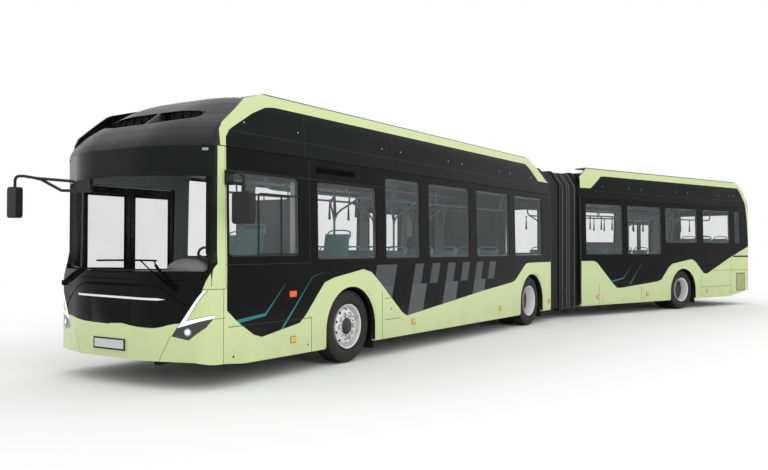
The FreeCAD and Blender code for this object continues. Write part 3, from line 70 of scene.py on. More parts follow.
# Painted panels. Steel and composite skins in a pale lime green, with black lower and upper bands,
# grey slanted blocks and fine teal lines, under one clear coat.
class Level:
    """A number that changes over a surface. Sums on it add Math nodes."""

    def __init__(self, finish, socket):
        self.finish = finish
        self.socket = socket

    def math(self, operation, *others):
        settings = {"operation": operation}
        made = self.finish.node("ShaderNodeMath", settings, {0: self, **dict(enumerate(others, 1))})
        return Level(self.finish, made.outputs[0])

    def __add__(self, other):
        return self.math("ADD", other)

    __radd__ = __add__

    def __mul__(self, other):
        return self.math("MULTIPLY", other)

    __rmul__ = __mul__

    def __sub__(self, other):
        return self.math("SUBTRACT", other)

    def __rsub__(self, other):
        return (self * -1) + other

    def __truediv__(self, other):
        return self.math("DIVIDE", other)

    def size(self):
        return self.math("ABSOLUTE")

    def most(self, other):
        return other if self is None else self.math("MAXIMUM", other)

    def above(self, edge, soft=0.0015):
        """1 where this is over the edge, with a narrow soft step."""
        ends = {"Value": self - edge, "From Min": -soft, "From Max": soft}
        made = self.finish.node("ShaderNodeMapRange", {"interpolation_type": "SMOOTHSTEP"}, ends)
        return Level(self.finish, made.outputs[0])

    def between(self, low, high, soft=0.0015):
        return self.above(low, soft) * (1 - self.above(high, soft))

    def along(self, points):
        """The height of a line through points, read at this level."""
        start, end = points[0][0], points[-1][0]
        stops = [((a - start) / (end - start), (b / 4, b / 4, b / 4, 1)) for a, b in points]
        ramp = self.finish.node("ShaderNodeValToRGB", {"stops": stops}, {0: (self - start) / (end - start)})
        return Level(self.finish, ramp.outputs[0]) * 4

    def stroke(self, up, start, end, half_start, half_end, soft=0.0015):
        """1 on a line between two points of (this, up), which may taper."""
        run = end[0] - start[0]
        rise = up - ((self - start[0]) * ((end[1] - start[1]) / run) + start[1])
        half = (self - start[0]) * ((half_end - half_start) / run) + half_start
        inside = 1 - (rise.size() - half).above(0, soft)
        return inside * self.between(min(start[0], end[0]), max(start[0], end[0]), soft)


class Finish:
    """A material with one main shader."""

    def __init__(self, name, **values):
        self.material = bpy.data.materials.new(name)
        self.material.use_nodes = True
        self.tree = self.material.node_tree
        self.shader = self.tree.nodes["Principled BSDF"]
        self.set(**values)

    def node(self, kind, settings, inputs):
        made = self.tree.nodes.new(kind)
        for name, value in settings.items():
            if name == "stops":
                ramp = made.color_ramp.elements
                while len(ramp) < len(value):
                    ramp.new(1)
                for stop, (position, colour) in zip(ramp, value):
                    stop.position = position
                    stop.color = colour
            else:
                setattr(made, name, value)
        for name, value in inputs.items():
            self.feed(made.inputs[name], value)
        return made

    def feed(self, socket, value):
        if isinstance(value, Level):
            self.tree.links.new(value.socket, socket)
        elif isinstance(value, bpy.types.NodeSocket):
            self.tree.links.new(value, socket)
        else:
            socket.default_value = value

    def set(self, **values):
        for name, value in values.items():
            self.feed(self.shader.inputs[name.replace("_", " ")], value)

    def position(self, origin=(0, 0, 0), turn=0.0):
        """The three coordinates of a surface point, from an origin and a turn about the upright."""
        place = self.node("ShaderNodeTexCoord", {}, {}).outputs["Object"]
        ends = {"Vector": place, "Location": origin, "Rotation": (0, 0, turn)}
        moved = self.node("ShaderNodeMapping", {"vector_type": "TEXTURE"}, ends)
        parts = self.node("ShaderNodeSeparateXYZ", {}, {0: moved.outputs[0]})
        return moved.outputs[0], *(Level(self, part) for part in parts.outputs)

    def mix(self, share, first, second):
        made = self.node("ShaderNodeMix", {"data_type": "RGBA"}, {0: share, 6: first, 7: second})
        return made.outputs[2]

    def grain(self, vector, scale, detail=2.0):
        made = self.node("ShaderNodeTexNoise", {}, {"Vector": vector, "Scale": scale, "Detail": detail})
        return Level(self, made.outputs["Fac"])

    def bump(self, height, strength, distance=0.001):
        ends = {"Strength": strength, "Distance": distance, "Height": height}
        self.set(Normal=self.node("ShaderNodeBump", {}, ends).outputs[0])


lime = (0.57, 0.66, 0.335, 1)
panel_black = (0.0055, 0.0055, 0.006, 1)
band_black = (0.010, 0.0103, 0.0107, 1)
block_low = (0.095, 0.098, 0.102, 1)
block_high = (0.075, 0.078, 0.082, 1)
teal_line = (0.024, 0.21, 0.20, 1)
seam_dark = (0.003, 0.003, 0.003, 1)
# Seams on the black bands are painted lighter than the black, as painted highlight on the edges of the gaps.
seam_highlight_on_black = (0.030, 0.030, 0.031, 1)
lining_grey = (0.26, 0.27, 0.27, 1)
dust_brown = (0.20, 0.19, 0.16, 1)
block_top = 1.27
block_split = .97
block_lean = 0.3
block_start = 1.629
block_pitch = 0.504
front_low = [(-2.472, 1.0), (-2.25, 0.816), (-2.116, 0.705), (-1.855, 0.54), (-1.722, 0.502), (-1.054, 0.608),
             (-0.933, 0.70), (-0.574, 1.071), (-0.403, 1.121), (-0.288, 1.14), (0.277, 1.221), (0.472, 1.175),
             (0.705, 1.01), (1.252, 0.58), (1.381, 0.52), (2.393, 0.62), (3.883, 0.77), (5.075, 0.87),
             (5.224, 0.9), (5.72, 1.2), (5.869, 1.22), (7.061, 1.22)]
rear_low = [(0.596, 1.22), (1.241, 1.22), (1.37, 1.18), (1.936, 0.7), (2.085, 0.6), (2.284, 0.6),
            (3.674, 0.71), (3.823, 0.75), (4.121, 1.03), (4.27, 1.12), (5.015, 1.22), (5.164, 1.22),
            (5.313, 1.16), (5.66, 0.88), (5.789, 0.85), (5.908, 0.88), (6.951, 1.26), (8.043, 1.6)]
front_high = [(-2.40, 2.6), (-2.30, 2.66), (-2.21, 2.79), (-1.85, 3.01), (-1.62, 3.11), (-1.45, 3.135),
              (5.869, 3.135), (6.117, 3.0), (6.415, 2.84), (6.99, 2.84)]
rear_high = [(0.596, 2.82), (1.192, 2.83), (1.569, 3.11), (1.688, 3.12), (7.447, 3.12), (7.795, 2.7),
             (7.874, 2.2), (7.904, 1.62), (8.043, 1.6)]
fairing_outside = [(2.59, 1.247), (2.85, 1.2395), (2.95, 1.235), (3.05, 1.222), (3.15, 1.195), (3.22, 1.172),
                   (3.27, 1.150), (3.31, 1.120)]
front_lines = [((-2.12, 0.702), (-1.65, 0.752), .020, .016), ((-1.668, 0.745), (-1.317, 1.084), .018, .003),
               ((-1.40, 0.535), (-0.81, 1.152), .022, .007), ((-0.82, 1.148), (-0.508, 1.213), .006, .001)]
rear_lines = [((1.887, 0.75), (2.334, 0.82), .018, .014), ((2.334, 0.82), (2.62, 1.1), .014, .002),
              ((2.552, 0.65), (2.979, 1.1), .018, .006), ((2.979, 1.1), (3.178, 1.2), .006, .001)]
front_seams = [(-2.29, 1.075, 2.6), (-0.857, 1.3, 2.59), (0.735, 0.24, 0.90), (-0.83, 0.24, 0.655),
               (-0.943, 2.6, 3.12), (1.03, 2.6, 3.12), (2.93, 2.6, 3.12), (5.06, 2.6, 3.1)]
rear_seams = [(1.44, 0.24, 0.7), (3.02, 0.24, 0.68), (5.561, 0.24, 0.86), (7.001, 0.24, 1.27),
              (2.582, 2.6, 3.1),
              (5.015, 2.6, 3.1)]
front_levels = [(0.655, -2.249, -0.83), (1.078, -2.30, -2.25), (2.345, -2.24, -0.857), (1.322, -2.29, -0.857),
                (2.775, -2.24, 6.3), (0.80, 0.80, 1.0), (0.503, 0.80, 1.2), (2.345, -0.857, 0.74)]
rear_levels = [(2.775, 1.3, 7.75), (0.93, 6.16, 7.95), (0.52, 5.561, 7.0)]


def body_paint(name, origin, turn, low, high, lines, seams, levels, front):
    paint = Finish(name, Coat_Roughness=0.05, IOR=1.28, Specular_IOR_Level=0.12)
    vector, x, y, z = paint.position(origin, turn)
    black = z.above(y.along(low)) * (1 - z.above(y.along(high)))
    if front:
        black = black * y.above(-2.272)
    upper_black = z.above(gutter)
    colour = paint.mix(black, lime, paint.mix(upper_black, panel_black, band_black))
    if front:
        slanted = (block_top - z) * block_lean + y
        step = (slanted - block_start) / block_pitch
        part = step - step.math("FLOOR")
        upper = part.between(0, .49, .006) * z.between(block_split, block_top) * slanted.between(block_start,
                                                                                                 4.43)
        pair = step * 0.5
        lower_part = pair - pair.math("FLOOR")
        lower = lower_part.between(0, .42, .003) * (1 - z.above(block_split))
        lower = lower * slanted.between(block_start, 4.66)
        first = slanted.between(.606, 1.122) * (1 - z.above(block_top))
        grey = paint.mix(z.above(block_split), block_low, block_high)
        colour = paint.mix((upper + lower + first).math("MINIMUM", 1) * black, colour, grey)
    teal = None
    for start, end, half_start, half_end in lines:
        teal = Level.most(teal, y.stroke(z, start, end, half_start, half_end, .003))
    colour = paint.mix(teal * black * (1.9 - z * 1.25), colour, teal_line)
    seam = None
    for at, bottom, top in seams:
        seam = Level.most(seam, y.between(at - .0045, at + .0045, .001) * z.between(bottom, top, .002))
    for at, fore, aft in levels:
        seam = Level.most(seam, z.between(at - .004, at + .004, .001) * y.between(fore, aft, .002))
    # The slot across the tail is not cut: it is painted as a dark band, painted shade for its depth.
    if not front:
        slot = z.between(1.268, 1.312) * y.between(7.1, 7.93)
        seam = Level.most(seam, slot)
    # Seams are painted dark on the lime, and lighter than the black on the black bands, as painted highlight.
    colour = paint.mix(seam, colour, paint.mix(black, seam_dark, seam_highlight_on_black))
    lean = (z - 1.3).math("MAXIMUM", 0) * 0.0217
    inside = 1 - (x.size() + lean).above(1.2165, .0008)
    within = inside * (1 - z.above(gutter)) * z.above(.34)
    inner_skin = 1 - (x.size() - z.along(fairing_outside)).above(-.006)
    colour = paint.mix(inner_skin * z.above(2.60), colour, panel_black)
    if not front:
        within = within * (1 - y.above(7.93))
        glass_frame = y.above(7.86) * z.between(1.56, 2.60) * (1 - x.size().above(1.02, .004))
        colour = paint.mix(glass_frame, colour, panel_black)
    colour = paint.mix(within, colour, lining_grey)
    dust = (1 - z.above(.55, .35)) * paint.grain(vector, 3.0, 5.0).above(.45, .25) * 0.14
    colour = paint.mix(dust, colour, dust_brown)
    cloud = paint.grain(vector, 1.3, 3.0)
    gloss = (1 - black * (cloud * 0.05 + 0.95)) * 0.42
    paint.set(Base_Color=colour, Roughness=dust * 1.6 + cloud * 0.10 + 0.2, Coat_Weight=gloss)
    paint.bump(paint.grain(vector, 190.0, 1.0) * 0.10 + (1 - seam), 0.22, 0.0012)
    return paint


def dress(finish, *names):
    for name in names:
        skin = frame["nodes"][name].data
        skin.materials.clear()
        skin.materials.append(finish.material)


front_origin = tuple(axle_start)
rear_origin = tuple(pivot_start)
front_paint = body_paint(
    "front_paint", front_origin, 0, front_low, front_high, front_lines, front_seams, front_levels, True
)
rear_paint = body_paint(
    "rear_paint", rear_origin, -bend, rear_low, rear_high, rear_lines, rear_seams, rear_levels, False
)
dress(front_paint, "front_left_wall", "front_right_wall", "front_fairings")
dress(rear_paint, "rear_left_wall", "rear_right_wall", "rear_fairings", "tail_panel")


# Door leaves. Slim black aluminium frames, painted lime below the walls' black band, with a long
# pane bonded into each.
def door_paint(name, origin, turn, low, leaves):
    paint = Finish(name, Coat_Roughness=0.06, IOR=1.3, Coat_Weight=0.2)
    vector, x, y, z = paint.position(origin, turn)
    pane = None
    for fore, aft in leaves:
        pane = Level.most(pane, y.between(fore + .0635, aft - .0635, .0005))
    pane = pane * z.between(.4465, 2.1935, .0005)
    frit = None
    for fore, aft in leaves:
        frit = Level.most(frit, y.between(fore + .085, aft - .085, .0005))
    clear = frit * z.between(.475, 2.165, .0005)
    green = (1 - z.above(y.along(low))) * (1 - pane)
    colour = paint.mix(green, panel_black, lime)
    paint.set(Base_Color=colour, Roughness=paint.grain(vector, 4.0, 4.0) * 0.14 + 0.22 - pane * 0.2)
    paint.set(Alpha=1 - clear * (paint.grain(vector, 1.5) * 0.04 + 0.86))
    paint.bump(paint.grain(vector, 190.0, 1.0), 0.05, 0.001)
    return paint


def leaf_spans(fore, aft):
    middle = (fore + aft) / 2
    return [(fore + .008, middle - .006), (middle + .006, aft - .008)]


front_door = door_paint("front_door_paint", front_origin, 0, front_low, leaf_spans(-2.27, -.80))
mid_door = door_paint("mid_door_paint", front_origin, 0, front_low, leaf_spans(3.98, 5.17))
rear_door = door_paint("rear_door_paint", rear_origin, -bend, rear_low, leaf_spans(5.98, 7.10))
dress(front_door, "front_door_fore", "front_door_aft")
dress(mid_door, "mid_door_fore", "mid_door_aft")
dress(rear_door, "rear_door_fore", "rear_door_aft")

# Front panel. One composite moulding with a black middle that dips to a smile, green corners that
# carry the lamps, a pale strip across the middle, and a hatch with a grip slot along its top.
mask_paint = Finish("mask_paint", Coat_Roughness=0.05, IOR=1.28, Specular_IOR_Level=0.15)
vector, x, y, z = mask_paint.position(front_origin)
side = x.size()
smile = x.along([(-1.4, 1.36), (-1.262, 1.345), (-1.182, 1.047), (-.95, .712), (-.905, .712), (-.80, .708),
                 (-.65, .691), (-.498, .677), (-.30, .668), (-.035, .663), (-.012, .671), (.12, .679),
                 (.20, .681),
                 (.235, .675), (.32, .665), (.45, .655), (.55, .650), (.636, .649), (.70, .655), (.76, .668),
                 (.82, .686), (.905, .703), (.95, .706), (1.182, 1.047), (1.262, 1.345), (1.4, 1.36)])
black = z.above(smile) * (1 - y.above(-2.396))
colour = mask_paint.mix(black, lime, panel_black)
middle_line = z + x * 0.013
strip = middle_line.between(.953, .976) * x.between(-.615, .70) + x.stroke(z, (.70, .9555), (.79, .954),
                                                                           .0115, 0)
colour = mask_paint.mix(strip * black, colour, (.80, .81, .82, 1))
corner_line = z.between(1.064, 1.070, .001) * side.above(1.178)
edge_line = z.between(.753, .758, .001) * side.above(1.245)
gap = y.between(-2.323, -2.317, .001) * z.between(.27, 1.067)
left_joint = x.stroke(z, (.718, .30), (.852, .571), .008, .008)
right_joint = x.stroke(z, (-.68, .571), (-.55, .30), .008, .008)
lines = corner_line.most(edge_line).most(gap).most(left_joint * .7).most(right_joint * .7)
lines = lines * (1 - black)
colour = mask_paint.mix(lines, colour, seam_dark)
lining = (1 - (side + (z - 1.3) * .0217).above(1.243)) * y.above(-2.47) * z.above(1.1)
colour = mask_paint.mix(lining, colour, panel_black)
dust = (1 - z.above(.5, .3)) * mask_paint.grain(vector, 3.0, 5.0).above(.45, .25) * 0.10
mask_paint.set(Base_Color=mask_paint.mix(dust, colour, dust_brown))
cloud = mask_paint.grain(vector, 1.3, 3.0)
mask_paint.set(Roughness=dust + cloud * 0.1 + 0.2, Coat_Weight=(1 - black * 0.95) * 0.45)
mask_paint.bump(mask_paint.grain(vector, 190.0, 1.0) * 0.10 + (1 - lines), 0.3, 0.002)
dress(mask_paint, "front_mask")


def pick(piece):
    """Makes a piece the active one and the only one selected."""
    bpy.ops.object.select_all(action="DESELECT")
    bpy.context.view_layer.objects.active = piece
    piece.select_set(True)


def edit(**steps):
    """Runs mesh operators with their settings, each on all of the active piece."""
    bpy.ops.object.mode_set(mode="EDIT")
    for name, settings in steps.items():
        bpy.ops.mesh.select_all(action="SELECT")
        getattr(bpy.ops.mesh, name)(**settings)
    bpy.ops.object.mode_set(mode="OBJECT")


def modified(piece, kind, **settings):
    """Adds a modifier with its settings and applies it."""
    pick(piece)
    made = piece.modifiers.new(kind.lower(), kind)
    for name, value in settings.items():
        setattr(made, name, value)
    bpy.ops.object.modifier_apply(modifier=made.name)


def sheet(name, rows):
    """A sheet of faces through rows of points."""
    bpy.ops.mesh.primitive_grid_add(x_subdivisions=len(rows[0]) - 1, y_subdivisions=len(rows) - 1, size=1)
    piece = bpy.context.object
    piece.name = name
    for vertex, point in zip(piece.data.vertices, [point for row in rows for point in row]):
        vertex.co = point
    return piece


def boxed(name, low, high, bevel, segments=2):
    """A block between two corners, its edges rounded."""
    middle = [(a + b) / 2 for a, b in zip(low, high)]
    size = [b - a for a, b in zip(low, high)]
    bpy.ops.mesh.primitive_cube_add(size=1, location=middle, scale=size)
    piece = bpy.context.object
    piece.name = name
    bpy.ops.object.transform_apply(location=True, rotation=True, scale=True)
    edit(bevel={"offset": bevel, "segments": segments, "affect": "EDGES"})
    return piece


def bar(name, points, radius, order=3):
    """A round bar along points: order 3 rounds its corners, order 2 keeps them."""
    bpy.ops.curve.primitive_nurbs_path_add()
    piece = bpy.context.object
    piece.name = name
    curve = piece.data
    curve.splines.clear()
    line = curve.splines.new("NURBS")
    line.points.add(len(points) - 1)
    for spot, point in zip(line.points, points):
        spot.co = (*point, 1)
    line.order_u = order
    line.use_endpoint_u = True
    curve.bevel_depth = radius
    curve.bevel_resolution = 2
    curve.use_fill_caps = True
    curve.resolution_u = 5
    bpy.ops.object.convert(target="MESH")
    return bpy.context.object


def smooth(piece, angle=35):
    pick(piece)
    bpy.ops.object.shade_smooth_by_angle(angle=math.radians(angle))
    piece.select_set(False)


def join(name, pieces):
    bpy.ops.object.select_all(action="DESELECT")
    for piece in pieces:
        piece.select_set(True)
    bpy.context.view_layer.objects.active = pieces[0]
    bpy.ops.object.join()
    pieces[0].name = name
    bpy.ops.object.select_all(action="DESELECT")
    return pieces[0]


def prism(name, points, fore, aft):
    """An outline in (x, z) run from fore to aft."""
    bpy.ops.mesh.primitive_circle_add(vertices=len(points), radius=1, fill_type="NGON")
    piece = bpy.context.object
    piece.name = name
    for vertex, (across, up) in zip(piece.data.vertices, points):
        vertex.co = (across, fore, up)
    edit(
        extrude_region_move={"TRANSFORM_OT_translate": {"value": (0, aft - fore, 0)}},
        normals_make_consistent={"inside": False},
    )
    return piece


def carve(piece, *tools):
    """Cuts the tools out of the piece and takes them away."""
    for tool in tools:
        modified(piece, "BOOLEAN", object=tool, solver="EXACT")
        bpy.data.objects.remove(tool)
    return piece


def settle(piece, body, finish):
    """Puts a finished piece in its section and gives it its finish and the body that carries it."""
    piece.data.transform(sections[body])
    piece.data.materials.clear()
    piece.data.materials.append(finish.material)
    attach(piece, body)
    return piece


def fit(name, pieces, body, finish, angle=None):
    """Joins pieces into one, smooths it where an angle is given, and settles it."""
    piece = join(name, pieces)
    if angle:
        smooth(piece, angle)
    return settle(piece, body, finish)


# Plain finishes. Moulded black plastic and rubber trim, chassis paint, aluminium frames, teal rails,
# pale and dark linings and coated mirror glass, each slightly uneven, as such parts are.
def plain(name, dark, pale, rough, scale, relief, spread=0.2, fine=420.0, detail=1.0, height=0.001, **values):
    made = Finish(name, **values)
    vector = made.position()[0]
    patches = made.grain(vector, scale, 6.0)
    made.set(Base_Color=made.mix(patches, dark, pale), Roughness=patches * spread + rough)
    if relief is not None:
        made.bump(made.grain(vector, fine, detail), relief, height)
    return made


trim_black = plain("trim_black", (.006, .006, .006, 1), (.015, .015, .015, 1), 0.38, 4, 0.25, IOR=1.35)
joint_black = plain("joint_black", (.0015, .0015, .0015, 1), (.003, .003, .003, 1), 0.7, 4, 0.1, IOR=1.3,
                    Specular_IOR_Level=0.15)
chassis_black = plain("chassis_black", (.008, .008, .009, 1), (.030, .027, .024, 1), 0.5, 5, 0.3, IOR=1.3)
frame_metal = plain("frame_metal", (.16, .165, .17, 1), (.24, .245, .25, 1), 0.4, 3, 0.1)
rail_teal = plain("rail_teal", (.055, .19, .19, 1), (.075, .24, .24, 1), 0.28, 6, 0.1)
pale_lining = plain("pale_lining", (.42, .43, .42, 1), (.50, .51, .50, 1), 0.5, 5, 0.2)
dark_lining = plain("dark_lining", (.075, .078, .08, 1), (.10, .103, .105, 1), 0.5, 7, 0.2)
mirror_glass = plain("mirror_glass", (.75, .77, .78, 1), (.80, .82, .83, 1), 0.02, 2, 0.0, Metallic=1.0)
dress(trim_black, "mirrors", "front_portal", "rear_portal", "mid_hoop")
dress(dark_lining, "dashboard")
dress(chassis_black, "front_underframe", "rear_underframe", "front_axle", "middle_axle", "rear_axle",
      "knuckle_left", "knuckle_right")
dress(rail_teal, "front_handrails", "rear_handrails")

# The cab's rear screen. A grey moulded panel behind the driver, which ends a little under the
# ceiling rails.
cab_panel = plain("cab_panel", (.040, .046, .046, 1), (.055, .064, .064, 1), 0.35, 3, 0.1)
dress(cab_panel, "cab_screen")

# Floors. Grey wear covering on plywood inside, and black sprayed undersides and wheel boxes.
for section, origin, turn, axles in (("front", front_origin, 0, (0, middle_axle)),
                                     ("rear", rear_origin, -bend, (rear_axle,))):
    floor_covering = Finish(section + "_floor_covering", IOR=1.35)
    vector, x, y, z = floor_covering.position(origin, turn)
    in_box = None
    for axle in axles:
        in_box = Level.most(in_box, y.between(axle - .603, axle + .603, .001))
    sprayed = (in_box * x.size().above(.576, .001) * (1 - z.above(1.045))).most(1 - z.above(.30))
    spots = floor_covering.grain(vector, 60.0, 6.0)
    covering = floor_covering.mix(spots, (.05, .055, .06, 1), (.09, .095, .10, 1))
    floor_covering.set(Base_Color=floor_covering.mix(sprayed, covering, (.010, .010, .010, 1)))
    floor_covering.set(Roughness=spots * 0.2 + 0.5)
    floor_covering.bump(floor_covering.grain(vector, 420.0, 1.0), 0.4, 0.001)
    dress(floor_covering, section + "_floor")


# Glass. Tinted toughened panes with a printed black border, and a laminated windscreen with a
# darker head where the blank destination display stands behind it.
left_front_panes = [(-2.244, -1.062), (-.705, .596), (.834, 1.768), (2.046, 3.387), (3.665, 4.975),
                    (5.243, 6.564)]
# Behind the mid door the right side's front section has no clear pane: that glass is printed black all over,
# as painted shade, so that the last window of the left side shows dark.
right_front_panes = [(-.54, .596), (.834, 1.768), (2.046, 3.70)]
left_rear_panes = [(.993, 2.314), (2.502, 3.843), (4.022, 5.412), (5.68, 6.981), (7.219, 7.497)]
right_rear_panes = [(.993, 2.314), (2.502, 3.843), (4.022, 5.412)]


def side_glass(name, origin, turn, left, right, raised):
    glass = Finish(name, Base_Color=(.010, .014, .014, 1), Roughness=0.02, IOR=1.4, Coat_Weight=0.15)
    vector, x, y, z = glass.position(origin, turn)
    border = .022
    hand = x.above(0)
    seen = None
    for panes, share in ((left, hand), (right, 1 - hand)):
        for fore, aft in panes:
            seen = Level.most(seen, y.between(fore + border, aft - border, .003) * share)
    low_edge = y.above(raised) * .28 + 1.36
    seen = seen * (z - low_edge).above(border, .003) * (1 - z.above(2.485 - border, .003))
    if not turn:
        short = y.above(-.9) * (1 - y.above(.7)) * hand
        seen = seen * (1 - (short * z.above(2.320 - border, .003)))
        driver = 1 - y.above(-1.0)
        seen = seen * (1 - driver * (z.above(2.33 - border, .003).most(1 - z.above(1.41 + border, .003))))
    else:
        tail_pane = y.above(7.6)
        seen = seen * (1 - tail_pane) + tail_pane * z.between(1.73, 2.42) * (1 - x.size().above(.79, .003))
    shade = glass.grain(vector, 1.5) * 0.04 + 0.075
    glass.set(Alpha=1 - seen * (1 - shade), Base_Color=glass.mix(seen, (.010, .011, .011, 1),
                                                                 (.30, .32, .32, 1)))
    return glass


front_glass = side_glass("front_side_glass", front_origin, 0, left_front_panes, right_front_panes, 9.0)
rear_glass = side_glass("rear_side_glass", rear_origin, -bend, left_rear_panes, right_rear_panes, 3.93)
dress(front_glass, "front_windows")
dress(rear_glass, "rear_windows")
screen_glass = Finish("screen_glass", Base_Color=(.010, .011, .012, 1), Roughness=0.02, IOR=1.35,
                      Specular_IOR_Level=0.2)
vector, x, y, z = screen_glass.position(front_origin)
side = x.size()
head = z.above(2.285 - side * .02, .004)
edge = side.above(1.212, .005)
foot = 1 - z.above(1.266 + side * .02, .004)
border = head.most(edge).most(foot)
band = z.between(2.285, 2.35, .02) * 0.08
screen_glass.set(Alpha=border * 0.955 + 0.035 - band * border, Base_Color=(.0085, .0088, .009, 1))
dress(screen_glass, "windscreen")


# Headlamps. Each is a clear cover over a white light guide in two arms, a black housing below it
# and one round bright lens in a grey ring.
lamp_cover = Finish("lamp_cover", Roughness=0.06, Coat_Weight=0.8, IOR=1.4)
vector, x, y, z = lamp_cover.position(front_origin)
side = x.size()
outer_left = ((side - .914) * .394 - (z - .653) * .268).above(.0032, .0008)
outer_right = 1 - ((side - 1.033) * .315 - (z - .740) * .193).above(-.0026, .0008)
under_arm = 1 - ((z - .740) - (side - 1.033) * .262).above(-.006, .0015)
over_base = ((z - .653) - (side - .914) * .304).above(.004, .0015)
light = outer_left * over_base * outer_right.most(under_arm)
colour = lamp_cover.mix(light, (.012, .012, .013, 1), (.86, .88, .90, 1))
lamp_cover.set(Base_Color=colour)
lamp_cover.set(Emission_Color=lamp_cover.mix(light, (0, 0, 0, 1), (.9, .93, 1, 1)), Emission_Strength=0.55)
dress(lamp_cover, "headlamps")


def outline_piece(name, points):
    """A closed outline in the plane of an axle (x) and a radius (z), ready to be spun."""
    bpy.ops.mesh.primitive_circle_add(vertices=len(points), radius=1)
    piece = bpy.context.object
    piece.name = name
    for vertex, (across, out) in zip(piece.data.vertices, points):
        vertex.co = (across, 0, out)
    return piece


def spun(piece, steps):
    """Spins the outline once round the x axis and closes it."""
    edit(
        spin={"steps": steps, "angle": 2 * math.pi, "center": (0, 0, 0), "axis": (1, 0, 0)},
        remove_doubles={"threshold": 0.0001},
        normals_make_consistent={"inside": False},
    )
    return piece


def copy_of(master, name, place):
    """A copy of a master piece with its own mesh, its place in its mesh."""
    piece = bpy.data.objects.new(name, master.data.copy())
    bpy.context.scene.collection.objects.link(piece)
    piece.data.transform(place)
    return piece


lens_outline = [(-.004, .0005), (.012, .0005), (.0115, .014), (.009, .025), (.004, .033), (.006, .036),
                (.006, .042),
                (-.004, .044)]
lens_master = spun(outline_piece("lens_master", lens_outline), 32)
smooth(lens_master)
lens_clear = Finish("lens_clear", Roughness=0.08, Coat_Weight=1.0, Metallic=0.3)
vector, x, y, z = lens_clear.position(front_origin)
ring_x, ring_z = x.size() - 1.043, z - .619
ring = (ring_x * ring_x + ring_z * ring_z).math("SQRT")
core = 1 - ring.above(.026, .006)
lens_clear.set(Base_Color=lens_clear.mix(core, (.30, .31, .32, 1), (.88, .90, .92, 1)))
lens_clear.set(Emission_Color=lens_clear.mix(core, (0, 0, 0, 1), (.9, .93, 1, 1)), Emission_Strength=0.6)
lens_pieces = []
for hand in (1, -1):
    facing = Matrix.Rotation(-math.pi / 2 + hand * math.radians(21), 4, "Z")
    lens_pieces.append(copy_of(lens_master, "lens",
                               Matrix.Translation((hand * 1.043, -2.606, .619)) @ facing))
bpy.data.objects.remove(lens_master)
fit("headlamp_lenses", lens_pieces, "front_body", lens_clear)

# Front plate. A blank white plate in a black frame, on the panel's pad.
plate_frame = boxed("plate_frame", (-.270, -2.793, .385), (.270, -2.786, .515), .003)
plate_blank = boxed("plate_blank", (-.245, -2.7955, .404), (.245, -2.7925, .498), .001)
plate_white = plain("plate_white", (.52, .53, .54, 1), (.58, .58, .58, 1), 0.3, 8, 0.05)
settle(plate_frame, "front_body", trim_black)
settle(plate_blank, "front_body", plate_white)

# Front wipers. Each has a pressed steel arm with a guide rod beside it, and a rubber blade that
# follows the glass. Their pivots stand low at the corners, under the windscreen.
wiper_parts = [
    bar("arm", [(.906, -2.672, 1.089), (.86, -2.695, 1.125), (.79, -2.715, 1.205), (.688, -2.738, 1.319)],
        .017),
    bar("arm", [(.90, -2.672, 1.075), (.84, -2.690, 1.10), (.62, -2.755, 1.27), (.502, -2.782, 1.366)], .008),
    bar("arm", [(.688, -2.735, 1.319), (.675, -2.735, 1.345), (.66, -2.735, 1.364)], .008),
    bar("arm", [(-1.077, -2.618, 1.089), (-.90, -2.670, 1.155), (-.70, -2.728, 1.225),
                (-.538, -2.770, 1.266)], .014),
    bar("arm", [(-1.07, -2.618, 1.075), (-.90, -2.668, 1.105), (-.66, -2.745, 1.185), (-.47, -2.780, 1.262)],
        .009),
    bar("blade", [(.69, -2.724, 1.367), (.60, -2.746, 1.368), (.50, -2.768, 1.369), (.35, -2.784, 1.369),
                  (.10, -2.786, 1.366), (-.227, -2.784, 1.361)], .010),
    bar("blade", [(-.56, -2.762, 1.266), (-.45, -2.775, 1.269), (-.30, -2.784, 1.272), (0, -2.786, 1.276),
                  (.25, -2.786, 1.279), (.41, -2.783, 1.281)], .010),
    boxed("pivot", (.880, -2.690, 1.050), (.935, -2.632, 1.115), .012),
    boxed("pivot", (-1.105, -2.632, 1.050), (-1.050, -2.575, 1.115), .012),
]
wiper_blades = fit("wiper_blades", wiper_parts, "front_body", joint_black, 35)
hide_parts("wipers")

# Hatch joints of the front panel. Black rubber beads round the hatch and under the windscreen, and
# the deep grip slot along the hatch's top, given as a near-black bar on the skin: painted shade for
# the slot's depth.
joints = [
    bar("bead", [(-1.0, -2.620, .80), (-.925, -2.645, .893), (-.80, -2.686, .965), (-.65, -2.733, 1.045),
                 (-.53, -2.756, 1.093), (-.44, -2.770, 1.108), (-.3, -2.774, 1.112), (0, -2.775, 1.110),
                 (.35, -2.773, 1.108),
                 (.60, -2.744, 1.106), (.70, -2.720, 1.095), (.80, -2.686, 1.035), (.9, -2.653, .965),
                 (1.015, -2.615, .888)], .0065),
    bar("bead", [(-.95, -2.636, 1.150), (-.7, -2.716, 1.168), (-.5, -2.763, 1.170), (-.385, -2.771, 1.169),
                 (0, -2.774, 1.166),
                 (.4, -2.771, 1.163), (.726, -2.709, 1.161), (.9, -2.651, 1.158), (1.014, -2.612, 1.164),
                 (1.10, -2.578, 1.185), (1.163, -2.542, 1.208)], .0045),
    # The grip slot is not cut: a near-black bar stands on the skin instead, painted shade for the recess.
    bar("slot", [(-.42, -2.766, 1.104), (-.30, -2.771, 1.1035), (0, -2.772, 1.102), (.35, -2.770, 1.0995),
                 (.50, -2.751, 1.098)], .0125),
]
fit("hatch_joints", joints, "front_body", joint_black, 35)

